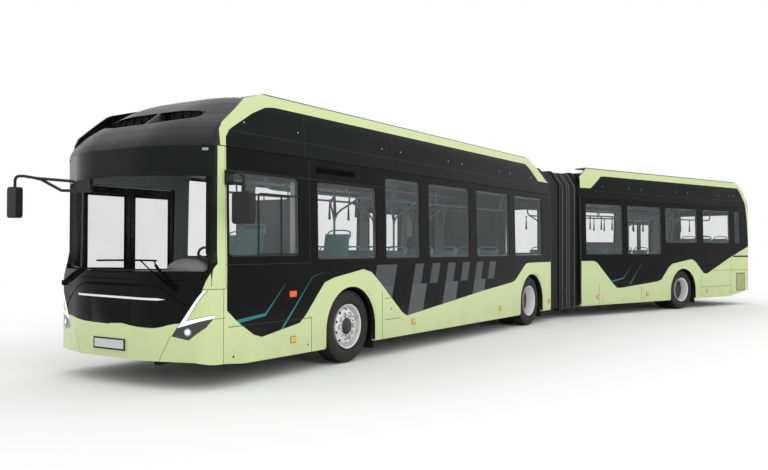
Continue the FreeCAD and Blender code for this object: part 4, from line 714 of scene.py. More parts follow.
# Mirror glasses. Flat coated glass, set into the backs of both heads.
mirror_panes = [
    boxed("pane", (half_width + .140, -2.2445, 1.773), (half_width + .364, -2.2405, 2.078), .0015),
    boxed("pane", (-1.510, -2.9815, 1.866), (-1.364, -2.9775, 2.198), .0015),
]
fit("mirror_glasses", mirror_panes, "front_body", mirror_glass)


# Windscreen opening. The front panel's frame is cut back to where the glass's printed border starts,
# as low and as wide as the clear part of the glass.
mask = bpy.data.objects.new("front_mask_skin", frame["nodes"]["front_mask"].data.copy())
bpy.context.scene.collection.objects.link(mask)
pick(mask)
edit(remove_doubles={"threshold": 0.00005})
opening = [(-1.205, 1.275), (-1.185, 1.254), (1.185, 1.254), (1.205, 1.275), (1.205, 2.255), (1.185, 2.275),
           (-1.185, 2.275), (-1.205, 2.255)]
screen_gap = prism("opening", opening, -2.9, -2.43)
screen_gap.data.transform(front_place)
carve(mask, screen_gap)
smooth(mask, 30)
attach(mask, "front_body")
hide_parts("front_mask")


# Roof moulding at the front. One domed moulding in black gel coat, with an air intake in two halves,
# a slanted bar between them, and a hatch joint beside it.
def lookup(points, at):
    for (a, b), (c, d) in zip(points, points[1:]):
        if at <= c:
            return b + (d - b) * (at - a) / (c - a)
    return points[-1][1]


nose_line = [(0, -2.77), (0.45, -2.759), (0.5, -2.751), (0.55, -2.741), (0.6, -2.729), (0.65, -2.715),
             (0.7, -2.698), (0.8, -2.656), (0.9, -2.611), (1, -2.565), (1.05, -2.542), (1.09, -2.524),
             (1.12, -2.511), (1.14, -2.501), (1.16, -2.491), (1.18, -2.478), (1.2, -2.462),
             (1.21, -2.452), (1.22, -2.441), (1.23, -2.429), (1.24, -2.414), (1.2465, -2.403)]
crown_line = [(0, 2.590), (.012, 2.624), (.035, 2.668), (.075, 2.717), (.12, 2.760), (.18, 2.817),
              (.25, 2.870),
              (.34, 2.926), (.45, 2.985), (.60, 3.075), (.75, 3.160), (.90, 3.228), (1.05, 3.280),
              (1.2, 3.285)]
shoulder_line = [(0, 3.29), (.8, 3.272), (1.0, 3.235), (1.08, 3.195), (1.13, 3.14), (1.17, 3.06),
                 (1.20, 2.95),
                 (1.2095, 2.86), (1.225, 2.80), (1.2465, 2.70)]
cap_across = [-1.2465, -1.242, -1.235, -1.226, -1.218, -1.2115, -1.2095, -1.20, -1.185, -1.17, -1.15, -1.12,
              -1.08, -1.04]
cap_across += [-1.0 + .05 * step for step in range(41)]
cap_across += [-value for value in reversed(cap_across[:14])]
cap_rows = 56


def cap_height(across, run):
    return min(lookup(crown_line, run), lookup(shoulder_line, abs(across)))


def cap_point(across, share):
    nose = lookup(nose_line, abs(across))
    stop = -2.386 if abs(across) > 1.211 else -1.651
    run = max(0.001, (stop - nose)) * share ** 1.7
    return across, nose + run, max(2.594, cap_height(across, run))


cap_net = [[cap_point(across, row / (cap_rows - 1)) for across in cap_across] for row in range(cap_rows)]
cap = sheet("roof_cap", cap_net)
bpy.ops.object.mode_set(mode="EDIT")
bpy.ops.mesh.select_all(action="DESELECT")
bpy.ops.mesh.select_mode(type="EDGE")
bpy.ops.mesh.select_non_manifold()
bpy.ops.mesh.extrude_region_move()
bpy.ops.object.mode_set(mode="OBJECT")
for vertex in cap.data.vertices:
    if vertex.select:
        vertex.co.z = 2.5905
bpy.ops.object.mode_set(mode="EDIT")
bpy.ops.mesh.edge_face_add()
bpy.ops.mesh.select_all(action="SELECT")
bpy.ops.mesh.normals_make_consistent(inside=False)
bpy.ops.object.mode_set(mode="OBJECT")


def intake_loop(side, low_end, high_end):
    return [(low_end, 2.890), (side * .35, 2.890), (side * .70, 2.925), (side * .78, 2.942),
            (side * .82, 2.966),
            (side * .812, 2.99), (side * .79, 3.015), (side * .73, 3.042), (side * .60, 3.055),
            (side * .35, 3.067),
            (high_end, 3.067)]


carve(cap, prism("mouth", intake_loop(1, .224, .106), -2.8, -2.09),
      prism("mouth", intake_loop(-1, .192, .074), -2.8, -2.09))
smooth(cap, 40)
cap_skin = Finish("cap_skin", IOR=1.35, Coat_Roughness=0.12, Coat_Weight=0.12, Specular_IOR_Level=0.35)
vector, x, y, z = cap_skin.position(front_origin)
joint = x.stroke(z, (.872, 2.923), (.982, 2.845), .005, .005)
joint = joint.most(x.stroke(z, (.982, 2.845), (1.17, 2.841), .0035, .0035))
joint = joint.most(z.between(2.598, 2.605))
spots = cap_skin.grain(vector, 2.4, 5.0)
grey = cap_skin.mix(spots, (.009, .009, .010, 1), (.017, .017, .018, 1))
cap_skin.set(Base_Color=cap_skin.mix(joint, grey, (.002, .002, .002, 1)), Roughness=spots * 0.16 + 0.32)
cap_skin.bump(cap_skin.grain(vector, 160.0, 1.0) * 0.2 + (1 - joint), 0.2, 0.002)
settle(cap, "front_body", cap_skin)
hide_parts("front_cap")
slats = [boxed("slat", (-.80, -2.20 + .012 * n, 2.90 + .031 * n), (.80, -2.17 + .012 * n, 2.906 + .031 * n),
               .002, 1)
         for n in range(5)]
slats += [boxed("slat", (-.70 + .14 * n, -2.165, 2.885), (-.692 + .14 * n, -2.12, 3.05), .002,
                1) for n in range(11)]
fit("intake_grille", slats, "front_body", trim_black)

# Roof marker lamps. Small clear lamps let into the upper corners of the windscreen's black head.
for hand in (1, -1):
    marker = boxed("roof_marker_%s" % ("left" if hand > 0 else "right"), (-.034, -.010, -.015),
                   (.034, .006, .015), .006, 3)
    marker.data.transform(Matrix.Translation((hand * 1.160, -2.487, 2.548)) @ Matrix.Rotation(hand * .55, 4,
                                                                                              "Z"))
    smooth(marker)
    settle(marker, "front_body", lens_clear)

# Roof skins, and the covers of the batteries and coolers with their ribs, edge rails and fans.
# Black gel coat and grey powder coat, never polished, so their shine is soft and uneven.
roof_skin = plain("roof_skin", (.014, .014, .015, 1), (.034, .034, .033, 1), 0.4, 2.2, None, 0.3, IOR=1.35)
dress(roof_skin, "front_roof", "rear_roof")
cover_grey = plain("cover_grey", (.13, .135, .14, 1), (.20, .20, .20, 1), 0.42, 3.0, 0.2, 0.25, 260.0,
                   Metallic=0.2)
dress(cover_grey, "front_roof_units", "rear_roof_units")


def cover_ribs(name, body, covers):
    ribs = []
    for fore, aft, top in covers:
        count = max(2, round((aft - fore) / .42))
        for number in range(count + 1):
            at = fore + .03 + (aft - fore - .06) * number / count
            ribs.append(boxed("rib", (-.80, at - .022, top - .002), (.80, at + .022, top + .016), .006, 1))
        for hand in (1, -1):
            low, high = sorted((hand * .815, hand * .829))
            ribs.append(boxed("rib", (low, fore + .05, top - .16), (high, aft - .05, top - .10), .004, 1))
            ribs.append(boxed("rib", (low, fore + .05, 2.72), (high, aft - .05, 2.78), .004, 1))
    return fit(name, ribs, body, cover_grey)


def fans(name, body, places, top):
    """Round fans, each in a raised collar under a wire guard."""
    pieces = []
    for across, back in places:
        here = Matrix.Translation((across, back, top)) @ Matrix.Rotation(-math.pi / 2, 4, "Y")
        collar = spun(outline_piece("collar", [(-.002, .205), (.022, .212), (.026, .225), (.022, .238),
                                               (-.002, .245)]), 32)
        collar.data.transform(here)
        pieces.append(collar)
        for radius in (.06, .12, .18):
            loop = spun(outline_piece("guard", [(.022, radius - .003), (.028, radius - .003),
                                                (.028, radius + .003),
                                                (.022, radius + .003)]), 32)
            loop.data.transform(here)
            pieces.append(loop)
        for number in range(6):
            angle = math.pi * number / 6
            spoke = boxed("guard", (-.21, -.003, .021), (.21, .003, .027), .001, 1)
            spoke.data.transform(Matrix.Translation((across, back, top)) @ Matrix.Rotation(angle, 4, "Z"))
            pieces.append(spoke)
        for number in range(7):
            angle = 2 * math.pi * number / 7
            blade = boxed("blade", (.03, -.045, .004), (.19, .045, .008), .002, 1)
            blade.data.transform(Matrix.Translation((across, back, top + .004)) @ Matrix.Rotation(angle, 4,
                                                                                                  "Z")
                                 @ Matrix.Rotation(.12, 4, "X"))
            pieces.append(blade)
    return fit(name, pieces, body, trim_black)


cover_ribs("front_cover_ribs", "front_body", [(.30, 2.50, 3.24), (2.70, 4.90, 3.24)])
cover_ribs("rear_cover_ribs", "rear_body", [(1.70, 3.90, 3.24)])
fans("front_cooler_fans", "front_body", [(-.45, -1.2), (.45, -1.2), (-.45, -.55), (.45, -.55)], 3.21)
fans("rear_cooler_fans", "rear_body", [(-.45, 4.65), (.45, 4.65), (-.45, 5.3), (.45, 5.3)], 3.21)


# Side fittings. Marker lamps, round-headed fastenings, locks of the flaps, painted lips and rubber
# seals round the wheel arches, mudflaps, an air grille, doorway seals, and the frame of the
# driver's sliding window.
def wall_face(up):
    return half_width - .028 * max(0, up - 1.3) / 1.29


marker_orange = plain("marker_orange", (.72, .085, .0, 1), (.80, .12, .002, 1), 0.2, 40, 0.1, Coat_Weight=.25)
marker_amber = plain("marker_amber", (.76, .34, .015, 1), (.84, .42, .03, 1), 0.15, 40, 0.1, Coat_Weight=.5)


def both_sides(name, places, half_run, half_rise, proud, round_off, body, finish):
    """Small blocks on both walls, each at a length and a height."""
    pieces = []
    for hand in (1, -1):
        for back, up in places:
            face = wall_face(up)
            low, high = sorted((hand * (face - .004), hand * (face + proud)))
            piece = boxed(name, (low, back - half_run, up - half_rise),
                          (high, back + half_run, up + half_rise), round_off)
            pieces.append(piece)
    return fit(name, pieces, body, finish, 35)


both_sides("front_marker_orange", [(-1.188, .96)], .062, .036, .012, .005, "front_body", marker_orange)
marker_olive = plain("marker_olive", (.22, .25, .11, 1), (.27, .30, .14, 1), 0.35, 20, 0.2)
amber_places = {
    "front": [(-1.18, .42), (1.565, .42), (4.57, .42), (6.89, .42)],
    "rear": [(1.39, .42), (3.257, .42), (5.829, .42), (7.60, .50)],
}
for section, places in amber_places.items():
    body = section + "_body"
    both_sides(section + "_markers_amber", places, .042, .032, .012, .004, body, marker_amber)
    both_sides(section + "_marker_seats", places, .052, .042, .005, .002, body, marker_olive)


def buttons(name, places, radius, proud, body, finish, face):
    """Round heads on both sides, each at a length and a height."""
    outline = [(-.004, .0004), (proud, .0004), (proud * .9, radius * .5), (proud * .5, radius * .85),
               (.0, radius),
               (-.004, radius)]
    master = spun(outline_piece("button", outline), 12)
    pieces = []
    for hand in (1, -1):
        for back, up in places:
            place = Matrix.Translation((hand * face(up), back, up))
            if hand < 0:
                place = place @ Matrix.Rotation(math.pi, 4, "Z")
            pieces.append(copy_of(master, name, place))
    bpy.data.objects.remove(master)
    return fit(name, pieces, body, finish, 35)


def fairing_face(up):
    """How far from the middle the studs sit on a roof fairing, the same at every height."""
    return 1.2405


# The fastening heads are painted a pale metallic grey, as painted highlight for the glint on their black
# domes.
stud_painted_glint = plain("stud_painted_glint", (.28, .29, .29, 1), (.36, .37, .37, 1), 0.3, 20, 0.1, Metallic=0.6)
stud_height = 2.888
studs = {
    "front": (-1.99, -1.06, .77, 1.25, 2.69, 3.16, 4.60, 5.08, 6.05),
    "rear": (1.61, 2.58, 3.06, 4.52, 5.01, 6.45, 6.97, 7.18),
}
locks = {
    "front": [(-2.17, .331), (-.897, .331), (.963, .648)],
    "rear": [(1.55, .33), (3.12, .33), (5.66, .34), (6.90, .34), (7.12, .36), (7.12, .88)],
}
for section in ("front", "rear"):
    body = section + "_body"
    places = [(back, stud_height) for back in studs[section]]
    buttons(section + "_studs", places, .012, .006, body, stud_painted_glint, fairing_face)
    buttons(section + "_locks", locks[section], .014, .003, body, trim_black, wall_face)


def swept(name, path, profile):
    """A closed profile run along a path: each path point has two directions for the profile."""
    rows = []
    for point, first, second in path:
        rows.append([Vector(point) + Vector(first) * a + Vector(second) * b for a,
                     b in [*profile, profile[0]]])
    piece = sheet(name, rows)
    edit(
        remove_doubles={"threshold": 0.00005},
        fill_holes={"sides": 0},
        normals_make_consistent={"inside": False},
    )
    return piece


def arch_path(hand, middle, radius):
    """Round a wheel arch from one foot to the other, with the way out of the arch and off the wall."""
    centre = .4505
    path = []
    for step in range(-2, 43):
        turn = math.pi * min(max(step, 0), 40) / 40
        drop = .10 if step in (-2, 42) else .05 if step in (-1, 41) else 0
        out = (0, -math.cos(turn), math.sin(turn))
        point = (hand * half_width, middle + out[1] * radius, centre + out[2] * radius - drop * 1.9)
        path.append((point, out, (hand, 0, 0)))
    return path


lip_profile = [(-.004, -.030), (-.006, .004), (.002, .011), (.014, .011), (.050, .005), (.056, -.002),
               (.010, -.006),
               (.008, -.030)]
seal_profile = [(-.006, -.05), (-.006, .006), (0, .010), (.004, .006), (.004, -.05)]
for body, axles, finish in (("front_body", (0, middle_axle), front_paint),
                            ("rear_body", (rear_axle,), rear_paint)):
    lips = []
    seals = []
    for hand in (1, -1):
        for middle in axles:
            lips.append(swept("lip", arch_path(hand, middle, .5495), lip_profile))
            seals.append(swept("seal", arch_path(hand, middle, .5435), seal_profile))
    section = body.split("_")[0]
    fit(section + "_arch_lips", lips, body, finish, 40)
    fit(section + "_arch_seals", seals, body, trim_black, 40)
    flaps = []
    for hand in (1, -1):
        for middle in axles:
            low, high = sorted((hand * .93, hand * 1.225))
            flaps.append(boxed("flap", (low, middle + .578, .13), (high, middle + .586, .50), .003))
    fit(section + "_mudflaps", flaps, body, trim_black)

grille = [boxed("grille", (1.244, -.72, 2.430), (1.2535, .105, 2.506), .003)]
grille += [boxed("grille", (1.251, -.70 + .027 * n, 2.438), (1.2575, -.692 + .027 * n, 2.498), .001,
                 1) for n in range(30)]
fit("air_grille", grille, "front_body", joint_black)
seals = [boxed("seal", (-1.270, fore + .010, 2.2935), (-1.217, aft - .010, 2.2998), .001, 1)
         for fore, aft in ((-2.27, -.80), (3.98, 5.17))]
fit("front_doorway_seals", seals, "front_body", trim_black)
seals = [boxed("seal", (-1.270, 5.99, 2.2935), (-1.217, 7.09, 2.2998), .001, 1)]
fit("rear_doorway_seals", seals, "rear_body", trim_black)
frame_x = 1.2665
slide = [
    bar("slide", [(frame_x, -1.77, 1.415), (frame_x, -1.77, 1.75), (frame_x - .006, -1.77, 2.03),
                  (frame_x - .008, -1.77, 2.112),
                  (frame_x - .008, -1.69, 2.116), (frame_x - .008, -1.45, 2.116),
                  (frame_x - .008, -1.065, 2.116)], .011),
    bar("slide", [(frame_x, -1.38, 1.415), (frame_x - .003, -1.38, 1.75), (frame_x - .008, -1.38, 2.112)],
        .010, 2),
    bar("slide", [(frame_x, -1.77, 1.43), (frame_x, -1.4, 1.43), (frame_x, -1.065, 1.43)], .008, 2),
]
fit("driver_window_slide", slide, "front_body", trim_black, 35)

# Tail fittings. A louvred grille low in the left rear wall, a blank plate in its frame under the rear
# window, two hatch handles, the joints round the hatch, and red lamps with an amber part.
grille = [boxed("frame", (1.271, 7.26, low), (1.279, 7.70, high), .003) for low,
          high in ((.37, .39), (.83, .85))]
grille += [boxed("frame", (1.271, fore, .37), (1.279, aft, .85), .003) for fore,
           aft in ((7.26, 7.28), (7.68, 7.70))]
grille += [boxed("louvre", (1.270, 7.275, .40 + .0245 * n), (1.2785, 7.685, .410 + .0245 * n), .002,
                 1) for n in range(18)]
mesh_olive = plain("mesh_olive", (.09, .10, .05, 1), (.13, .14, .07, 1), 0.5, 30, 0.3)
fit("tail_grille", grille, "rear_body", mesh_olive)
rear_frame = boxed("rear_plate_frame", (-.262, 7.990, .772), (.262, 7.999, .888), .003)
rear_blank = boxed("rear_plate_blank", (-.250, 7.9985, .782), (.250, 8.0015, .878), .001)
settle(rear_frame, "rear_body", trim_black)
settle(rear_blank, "rear_body", plate_white)
handles = [boxed("handle", (x0, 7.990, 1.30), (x0 + .16, 8.004, 1.33), .006) for x0 in (-.60, .44)]
handles += [boxed("handle", (-1.0, 7.991, .50), (1.0, 7.998, .506), .002, 1),
            boxed("handle", (-.95, 7.991, 1.45), (.95, 7.998, 1.456), .002, 1)]
handles += [boxed("handle", (x0, 7.991, .51), (x0 + .006, 7.998, 1.45), .002, 1) for x0 in (-.953, .947)]
fit("tail_hatch_trim", handles, "rear_body", trim_black)
red_lamp = Finish("red_lamp", Roughness=0.12, Coat_Weight=1.0)
vector, x, y, z = red_lamp.position(rear_origin, -bend)
rows = (z * 25).math("FRACT").between(.08, .92, .04)
amber = z.between(1.1, 1.24)
colour = red_lamp.mix(amber, (.42, .012, .010, 1), (.60, .22, .02, 1))
red_lamp.set(Base_Color=red_lamp.mix(rows, (.08, .004, .004, 1), colour))
red_lamp.bump(rows, 0.5, 0.002)
dress(red_lamp, "tail_lamps")


# Tyres. Black rubber, 275 mm wide and 956 mm high, with a four-groove tread, cut shoulders and
# plain side walls.
def mirrored_outline(half):
    return half + [(-across, out) for across, out in reversed(half)]


tread_half = [(.104, .287), (.127, .318), (.1365, .355), (.137, .395), (.1335, .436), (.128, .452),
              (.124, .466), (.104, .4765), (.079, .4775), (.077, .466), (.069, .466), (.067, .4778),
              (.030, .478), (.028, .466), (.020, .466), (.018, .478)]
tyre_master = spun(outline_piece("tyre_master", mirrored_outline(tread_half)), 96)
for face in tyre_master.data.polygons:
    height = math.hypot(face.center.y, face.center.z)
    turn = math.degrees(math.atan2(face.center.z, face.center.y)) % 360
    face.select = height > .455 and abs(face.center.x) > .079 and int(turn / 3.75) % 3 == 0
bpy.ops.object.mode_set(mode="EDIT")
bpy.ops.mesh.select_mode(type="FACE")
bpy.ops.mesh.inset(thickness=0.003, depth=-0.007)
bpy.ops.mesh.select_all(action="DESELECT")
bpy.ops.object.mode_set(mode="OBJECT")
smooth(tyre_master)
rubber = plain("rubber", (.007, .007, .007, 1), (.024, .023, .022, 1), 0.5, 7.0, 0.3, 0.25, 300.0, 2.0,
               IOR=1.35)
tyre_master.data.materials.append(rubber.material)

# Rims. Pressed silver-painted steel, with ten round hand holes and ten nuts. A front rim's disc
# bulges outwards round its black hub, and twin rims are dished, their dish painted dark grey as
# painted shade.
rim_silver = plain("rim_silver", (.80, .81, .82, 1), (.60, .60, .59, 1), 0.3, 9.0, 0.1, 0.2, 350.0,
                   Metallic=0.25,
                   Coat_Weight=0.3)
rim_dish_painted_shade = plain("rim_dish_painted_shade", (.045, .045, .047, 1), (.09, .09, .09, 1), 0.4, 9, 0.1)
hub_black = plain("hub_black", (.008, .008, .009, 1), (.022, .022, .022, 1), 0.35, 9, 0.2)
nut_steel = plain("nut_steel", (.62, .62, .63, 1), (.78, .78, .78, 1), 0.25, 20, 0.15, Metallic=0.85)


def rim(name, outline, hole_ring, hole_radius, nut_ring, nut_x, hub, deep=False):
    disc = spun(outline_piece(name, outline), 80)
    disc.data.materials.append(rim_silver.material)
    punches = []
    for number in range(10):
        angle = 2 * math.pi * (number + .5) / 10
        at = (0, hole_ring * math.cos(angle), hole_ring * math.sin(angle))
        bpy.ops.mesh.primitive_cylinder_add(vertices=20, radius=hole_radius, depth=.5, location=at,
                                            rotation=(0, math.pi / 2, 0))
        punches.append(bpy.context.object)
    cutter = join("cutter", punches)
    carve(disc, cutter)
    smooth(disc)
    # The dish of a twin rim, inside its outer ring, gets a dark grey finish: painted shade on the silver
    # steel.
    if deep:
        disc.data.materials.append(rim_dish_painted_shade.material)
        for face in disc.data.polygons:
            face.material_index = int(math.hypot(face.center.y, face.center.z) < .262)
    # Each nut stands on a black ring wider than its silver collar: painted shade in the nut's seat.
    nut_parts = [
        (.018, .030, 6, 0, nut_steel),
        (.036, .005, 20, -.003, hub_black),
        (.0255, .010, 20, -.001, rim_silver),
        (.009, .050, 12, 0, nut_steel),
    ]
    extras = []
    for number in range(10):
        angle = 2 * math.pi * number / 10
        at = (nut_x, nut_ring * math.cos(angle), nut_ring * math.sin(angle))
        for radius, depth, sides, shift, finish in nut_parts:
            place = (at[0] + shift, at[1], at[2])
            bpy.ops.mesh.primitive_cylinder_add(vertices=sides, radius=radius, depth=depth, location=place,
                                                rotation=(angle, math.pi / 2, 0))
            nut = bpy.context.object
            edit(bevel={"offset": .002, "segments": 1})
            nut.data.materials.append(finish.material)
            extras.append(nut)
    cap = spun(outline_piece(name + "_hub", hub), 48)
    cap.data.materials.append(hub_black.material)
    smooth(cap)
    extras.append(cap)
    return join(name, [disc, *extras])


front_rim = rim(
    "front_rim",
    [(-.1175, .2855), (.1175, .2855), (.122, .290), (.127, .290), (.126, .282), (.118, .274), (.070, .268),
     (.040, .260), (.038, .250), (.058, .240), (.086, .228), (.098, .210), (.104, .190), (.104, .112),
     (.096, .108),
     (.096, .184), (.088, .205), (.076, .220), (.046, .232), (.026, .246), (.026, .262), (-.1175, .268)],
    .224, .021, .152, .108,
    [(.0, .103), (.104, .103), (.117, .090), (.124, .078), (.1255, .060), (.130, .052), (.131, .001),
     (0, .001)],
)
twin_rim = rim(
    "twin_rim",
    [(.0375, .2855), (.2725, .2855), (.277, .290), (.282, .290), (.280, .278), (.266, .268), (.110, .262),
     (.070, .245), (.028, .215), (.020, .190), (.020, .112), (.010, .112), (.010, .195), (.0375, .262)],
    .212, .024, .150, .026,
    [(.010, .112), (.120, .104), (.140, .090), (.150, .070), (.151, .001), (.010, .001)],
    True,
)
inner_rim = spun(
    outline_piece(
        "inner_rim",
        [(-.2725, .2855), (-.0375, .2855), (-.0375, .262), (-.012, .205), (-.012, .112), (-.022, .112),
         (-.024, .200), (-.055, .250), (-.2725, .268)],
    ),
    64,
)
inner_rim.data.materials.append(rim_silver.material)
smooth(inner_rim)

twin_half = .155
for corner in ("front", "middle", "rear"):
    for hand, turn in (("left", 0), ("right", math.pi)):
        hub = Vector(joint_place["spin_%s_%s" % (corner, hand)])
        place = Matrix.Translation(hub)
        place = place @ Matrix.Rotation(turn - (bend if corner == "rear" else 0), 4, "Z")
        tag = "%s_%s" % (corner, hand)
        offsets = [0] if corner == "front" else [-twin_half, twin_half]
        rubbers = [
            copy_of(tyre_master, "tread_%s_%d" % (tag, index), place @ Matrix.Translation((offset, 0, 0)))
            for index, offset in enumerate(offsets)
        ]
        tread = join("tread_" + tag, rubbers)
        if corner == "front":
            disc = copy_of(front_rim, "disc_" + tag, place)
        else:
            discs = [copy_of(twin_rim, "disc_" + tag, place), copy_of(inner_rim, "back_" + tag, place)]
            disc = join("disc_" + tag, discs)
        for piece, node, slot in ((tread, "tyre_" + tag, "tyre"), (disc, "rim_" + tag, "rim")):
            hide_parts(node)
            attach(piece, "wheel_" + tag)
for master in (tyre_master, front_rim, twin_rim, inner_rim):
    bpy.data.objects.remove(master)

# Seats. Moulded shells on brackets, with two thin foam pads each in teal cloth and a round grab
# handle at the top. One more stands on each front wheel box.
seat_floor = .34


def pad(name, low, high, crown):
    """A foam pad: a closed form, crowned on its face, whose sides pull in between its corners."""
    middle = Vector([(a + b) / 2 for a, b in zip(low, high)])
    half = Vector([(b - a) / 2 for a, b in zip(low, high)])
    bpy.ops.mesh.primitive_cube_add(size=2)
    piece = bpy.context.object
    piece.name = name
    edit(subdivide={"number_cuts": 7})
    for vertex in piece.data.vertices:
        u, v, w = vertex.co
        pull_u = 1 - .035 * (1 - v * v) - .05 * abs(w) ** 3
        pull_v = 1 - .035 * (1 - u * u) - .05 * abs(w) ** 3
        bulge = (1 - u ** 4) * (1 - v ** 4)
        seam = .12 * math.exp(-((abs(u) - .62) / .05) ** 2) if w > 0 else 0
        lift = w * (1 - .45 * max(u ** 8, v ** 8)) + (crown * bulge - seam * .25 if w > 0 else 0)
        vertex.co = (u * pull_u, v * pull_v, lift)
    piece.data.transform(Matrix.Translation(middle) @ Matrix.Diagonal((*half, 1)))
    return piece


def seat_pieces():
    cushion = pad("cushion", (-.205, .085, .452), (.205, .425, .486), .5)
    back = pad("back", (-.20, -.30, 0), (.20, .30, .030), .5)
    lean = Matrix.Translation((0, -.005, .825)) @ Matrix.Rotation(math.radians(-90 + 10.5), 4, "X")
    back.data.transform(lean @ Matrix.Rotation(math.pi, 4, "Z"))
    pads = join("pads", [cushion, back])
    pick(pads)
    bpy.ops.object.shade_smooth()
    side = [(.435, .412), (.440, .432), (.425, .450), (.10, .452), (.045, .475), (.015, .55), (-.075, 1.10),
            (-.085, 1.12)]
    rows = []
    for row, (back_at, up) in enumerate(side):
        width = .215 if row < 6 else .215 - .02 * (row - 5)
        line = []
        for across in [-1 + column / 4 for column in range(9)]:
            wing = .018 * abs(across) ** 4
            line.append((across * width, back_at + (wing if row > 3 else 0), up + (wing if row < 4 else 0)))
        rows.append(line)
    shell = sheet("shell", rows)
    modified(shell, "SOLIDIFY", thickness=.016, offset=0)
    modified(shell, "BEVEL", width=.006, segments=2)
    smooth(shell, 50)
    handle = bar("handle", [(-.19, -.075, 1.06), (-.195, -.088, 1.12), (-.17, -.096, 1.165),
                            (-.09, -.100, 1.182),
                            (.09, -.100, 1.182), (.17, -.096, 1.165), (.195, -.088, 1.12),
                            (.19, -.075, 1.06)], .011)
    smooth(handle)
    stand = join("stand", [boxed("leg", (-.045, .14, .0), (.045, .28, .40), .012),
                           boxed("foot", (-.09, .10, .0), (.09, .32, .014), .004),
                           boxed("bearer", (-.17, .10, .385), (.17, .36, .412), .008)])
    smooth(stand)
    return pads, shell, handle, stand


pads, shell, handle, stand = seat_pieces()
seat_cloth = Finish("seat_cloth", Roughness=0.85, Sheen_Weight=0.3)
vector, x, y, z = seat_cloth.position()
weave = (x * 900).math("SINE") * (z * 900).math("SINE")
patches = seat_cloth.grain(vector, 30.0, 4.0)
seat_cloth.set(Base_Color=seat_cloth.mix(patches, (.014, .11, .115, 1), (.035, .18, .185, 1)))
seat_cloth.bump(weave, 0.3, 0.0008)
shell_teal = plain("shell_teal", (.018, .085, .09, 1), (.03, .12, .125, 1), 0.4, 8, 0.2)
front_rows = [(x, 1.5 + .8 * n, seat_floor, True) for n in range(5) for x in (.93, .48)]
front_rows += [(x, 1.5 + .8 * n, seat_floor, True) for n in range(3) for x in (-.93, -.48)]
front_rows += [(.72, -1.36, .61, True)]
front_rows += [(x, .10, .725, False) for x in (.93, -.93)]
rear_rows = [(x, 1.8 + .8 * n, seat_floor, True) for n in range(3) for x in (.93, .48, -.93, -.48)]
rear_rows += [(x, 6.2 + .8 * n, .64, True) for n in range(2) for x in (.93, .48)]
for section, rows_of_seats in (("front", front_rows), ("rear", rear_rows)):
    body = section + "_body"
    made = {"pads": [], "shells": [], "handles": []}
    for across, back, up, standing in rows_of_seats:
        place = Matrix.Translation((across, back, up)) @ Matrix.Rotation(math.pi, 4, "Z")
        if not standing:
            place = place @ Matrix.Diagonal((1, 1, .86, 1))
        made["pads"].append(copy_of(pads, "pads", place))
        made["shells"].append(copy_of(shell, "shells", place))
        made["handles"].append(copy_of(handle, "handles", place))
        if standing:
            made["shells"].append(copy_of(stand, "shells", place))
    all_pads = fit(section + "_seat_pads", made["pads"], body, seat_cloth)
    shells = fit(section + "_seat_shells", made["shells"], body, shell_teal)
    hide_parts(section + "_seats")
    fit(section + "_seat_handles", made["handles"], body, rail_teal)
for master in (pads, shell, handle, stand):
    bpy.data.objects.remove(master)

# Grab rails. Teal powder-coated tubes along the ceiling, forked arms from the poles up to them,
# short hangers, and tapered black grab straps in moulded clamps.
for section, poles, reach in (
    ("front", [(.2, 1.05), (-.2, 1.05), (.2, 2.7), (-.2, 2.7), (.2, 3.8)], (-.75, 6.75)),
    ("rear", [(.2, 1.4), (-.2, 1.4), (.2, 3.9), (.2, 5.7)], (1.0, 7.4)),
):
    tubes = []
    loops = []
    fore, aft = reach
    for across in (.45, -.45):
        tubes.append(bar("rail", [(across, fore, 2.45), (across, fore, 2.29), (across, fore + .12, 2.27),
                                  (across, fore + .3, 2.265), (across, (fore + aft) / 2, 2.265),
                                  (across, aft - .3, 2.265),
                                  (across, aft - .12, 2.27), (across, aft, 2.29), (across, aft, 2.45)], .016))
        for number in range(6):
            at = fore + .4 + (aft - fore - .8) * number / 5
            tubes.append(bar("rail", [(across, at, 2.265), (across, at, 2.40), (across * 1.1, at, 2.50),
                                      (across * 1.2, at, 2.585)], .012))
        count = 14
        for number in range(count):
            at = fore + .35 + (aft - fore - .7) * number / (count - 1) + .09
            bpy.ops.mesh.primitive_cone_add(vertices=10, radius1=.024, radius2=.008, depth=.28,
                                            location=(across, at, 2.10))
            loops.append(bpy.context.object)
            loops.append(boxed("loop", (across - .010, at - .019, 2.245), (across + .010, at + .019, 2.288),
                               .005, 1))
    for across, back in poles:
        hand = 1 if across > 0 else -1
        for lead in (-.25, .25):
            tubes.append(bar("rail", [(across, back, 1.88), (across, back + lead * .1, 2.02),
                                      (across + hand * .10, back + lead, 2.16),
                                      (across + hand * .22, back + lead * 1.2, 2.25),
                                      (across + hand * .25, back + lead * 1.25, 2.265)], .015))
    fit(section + "_ceiling_rails", tubes, section + "_body", rail_teal, 35)
    fit(section + "_grab_loops", loops, section + "_body", trim_black)

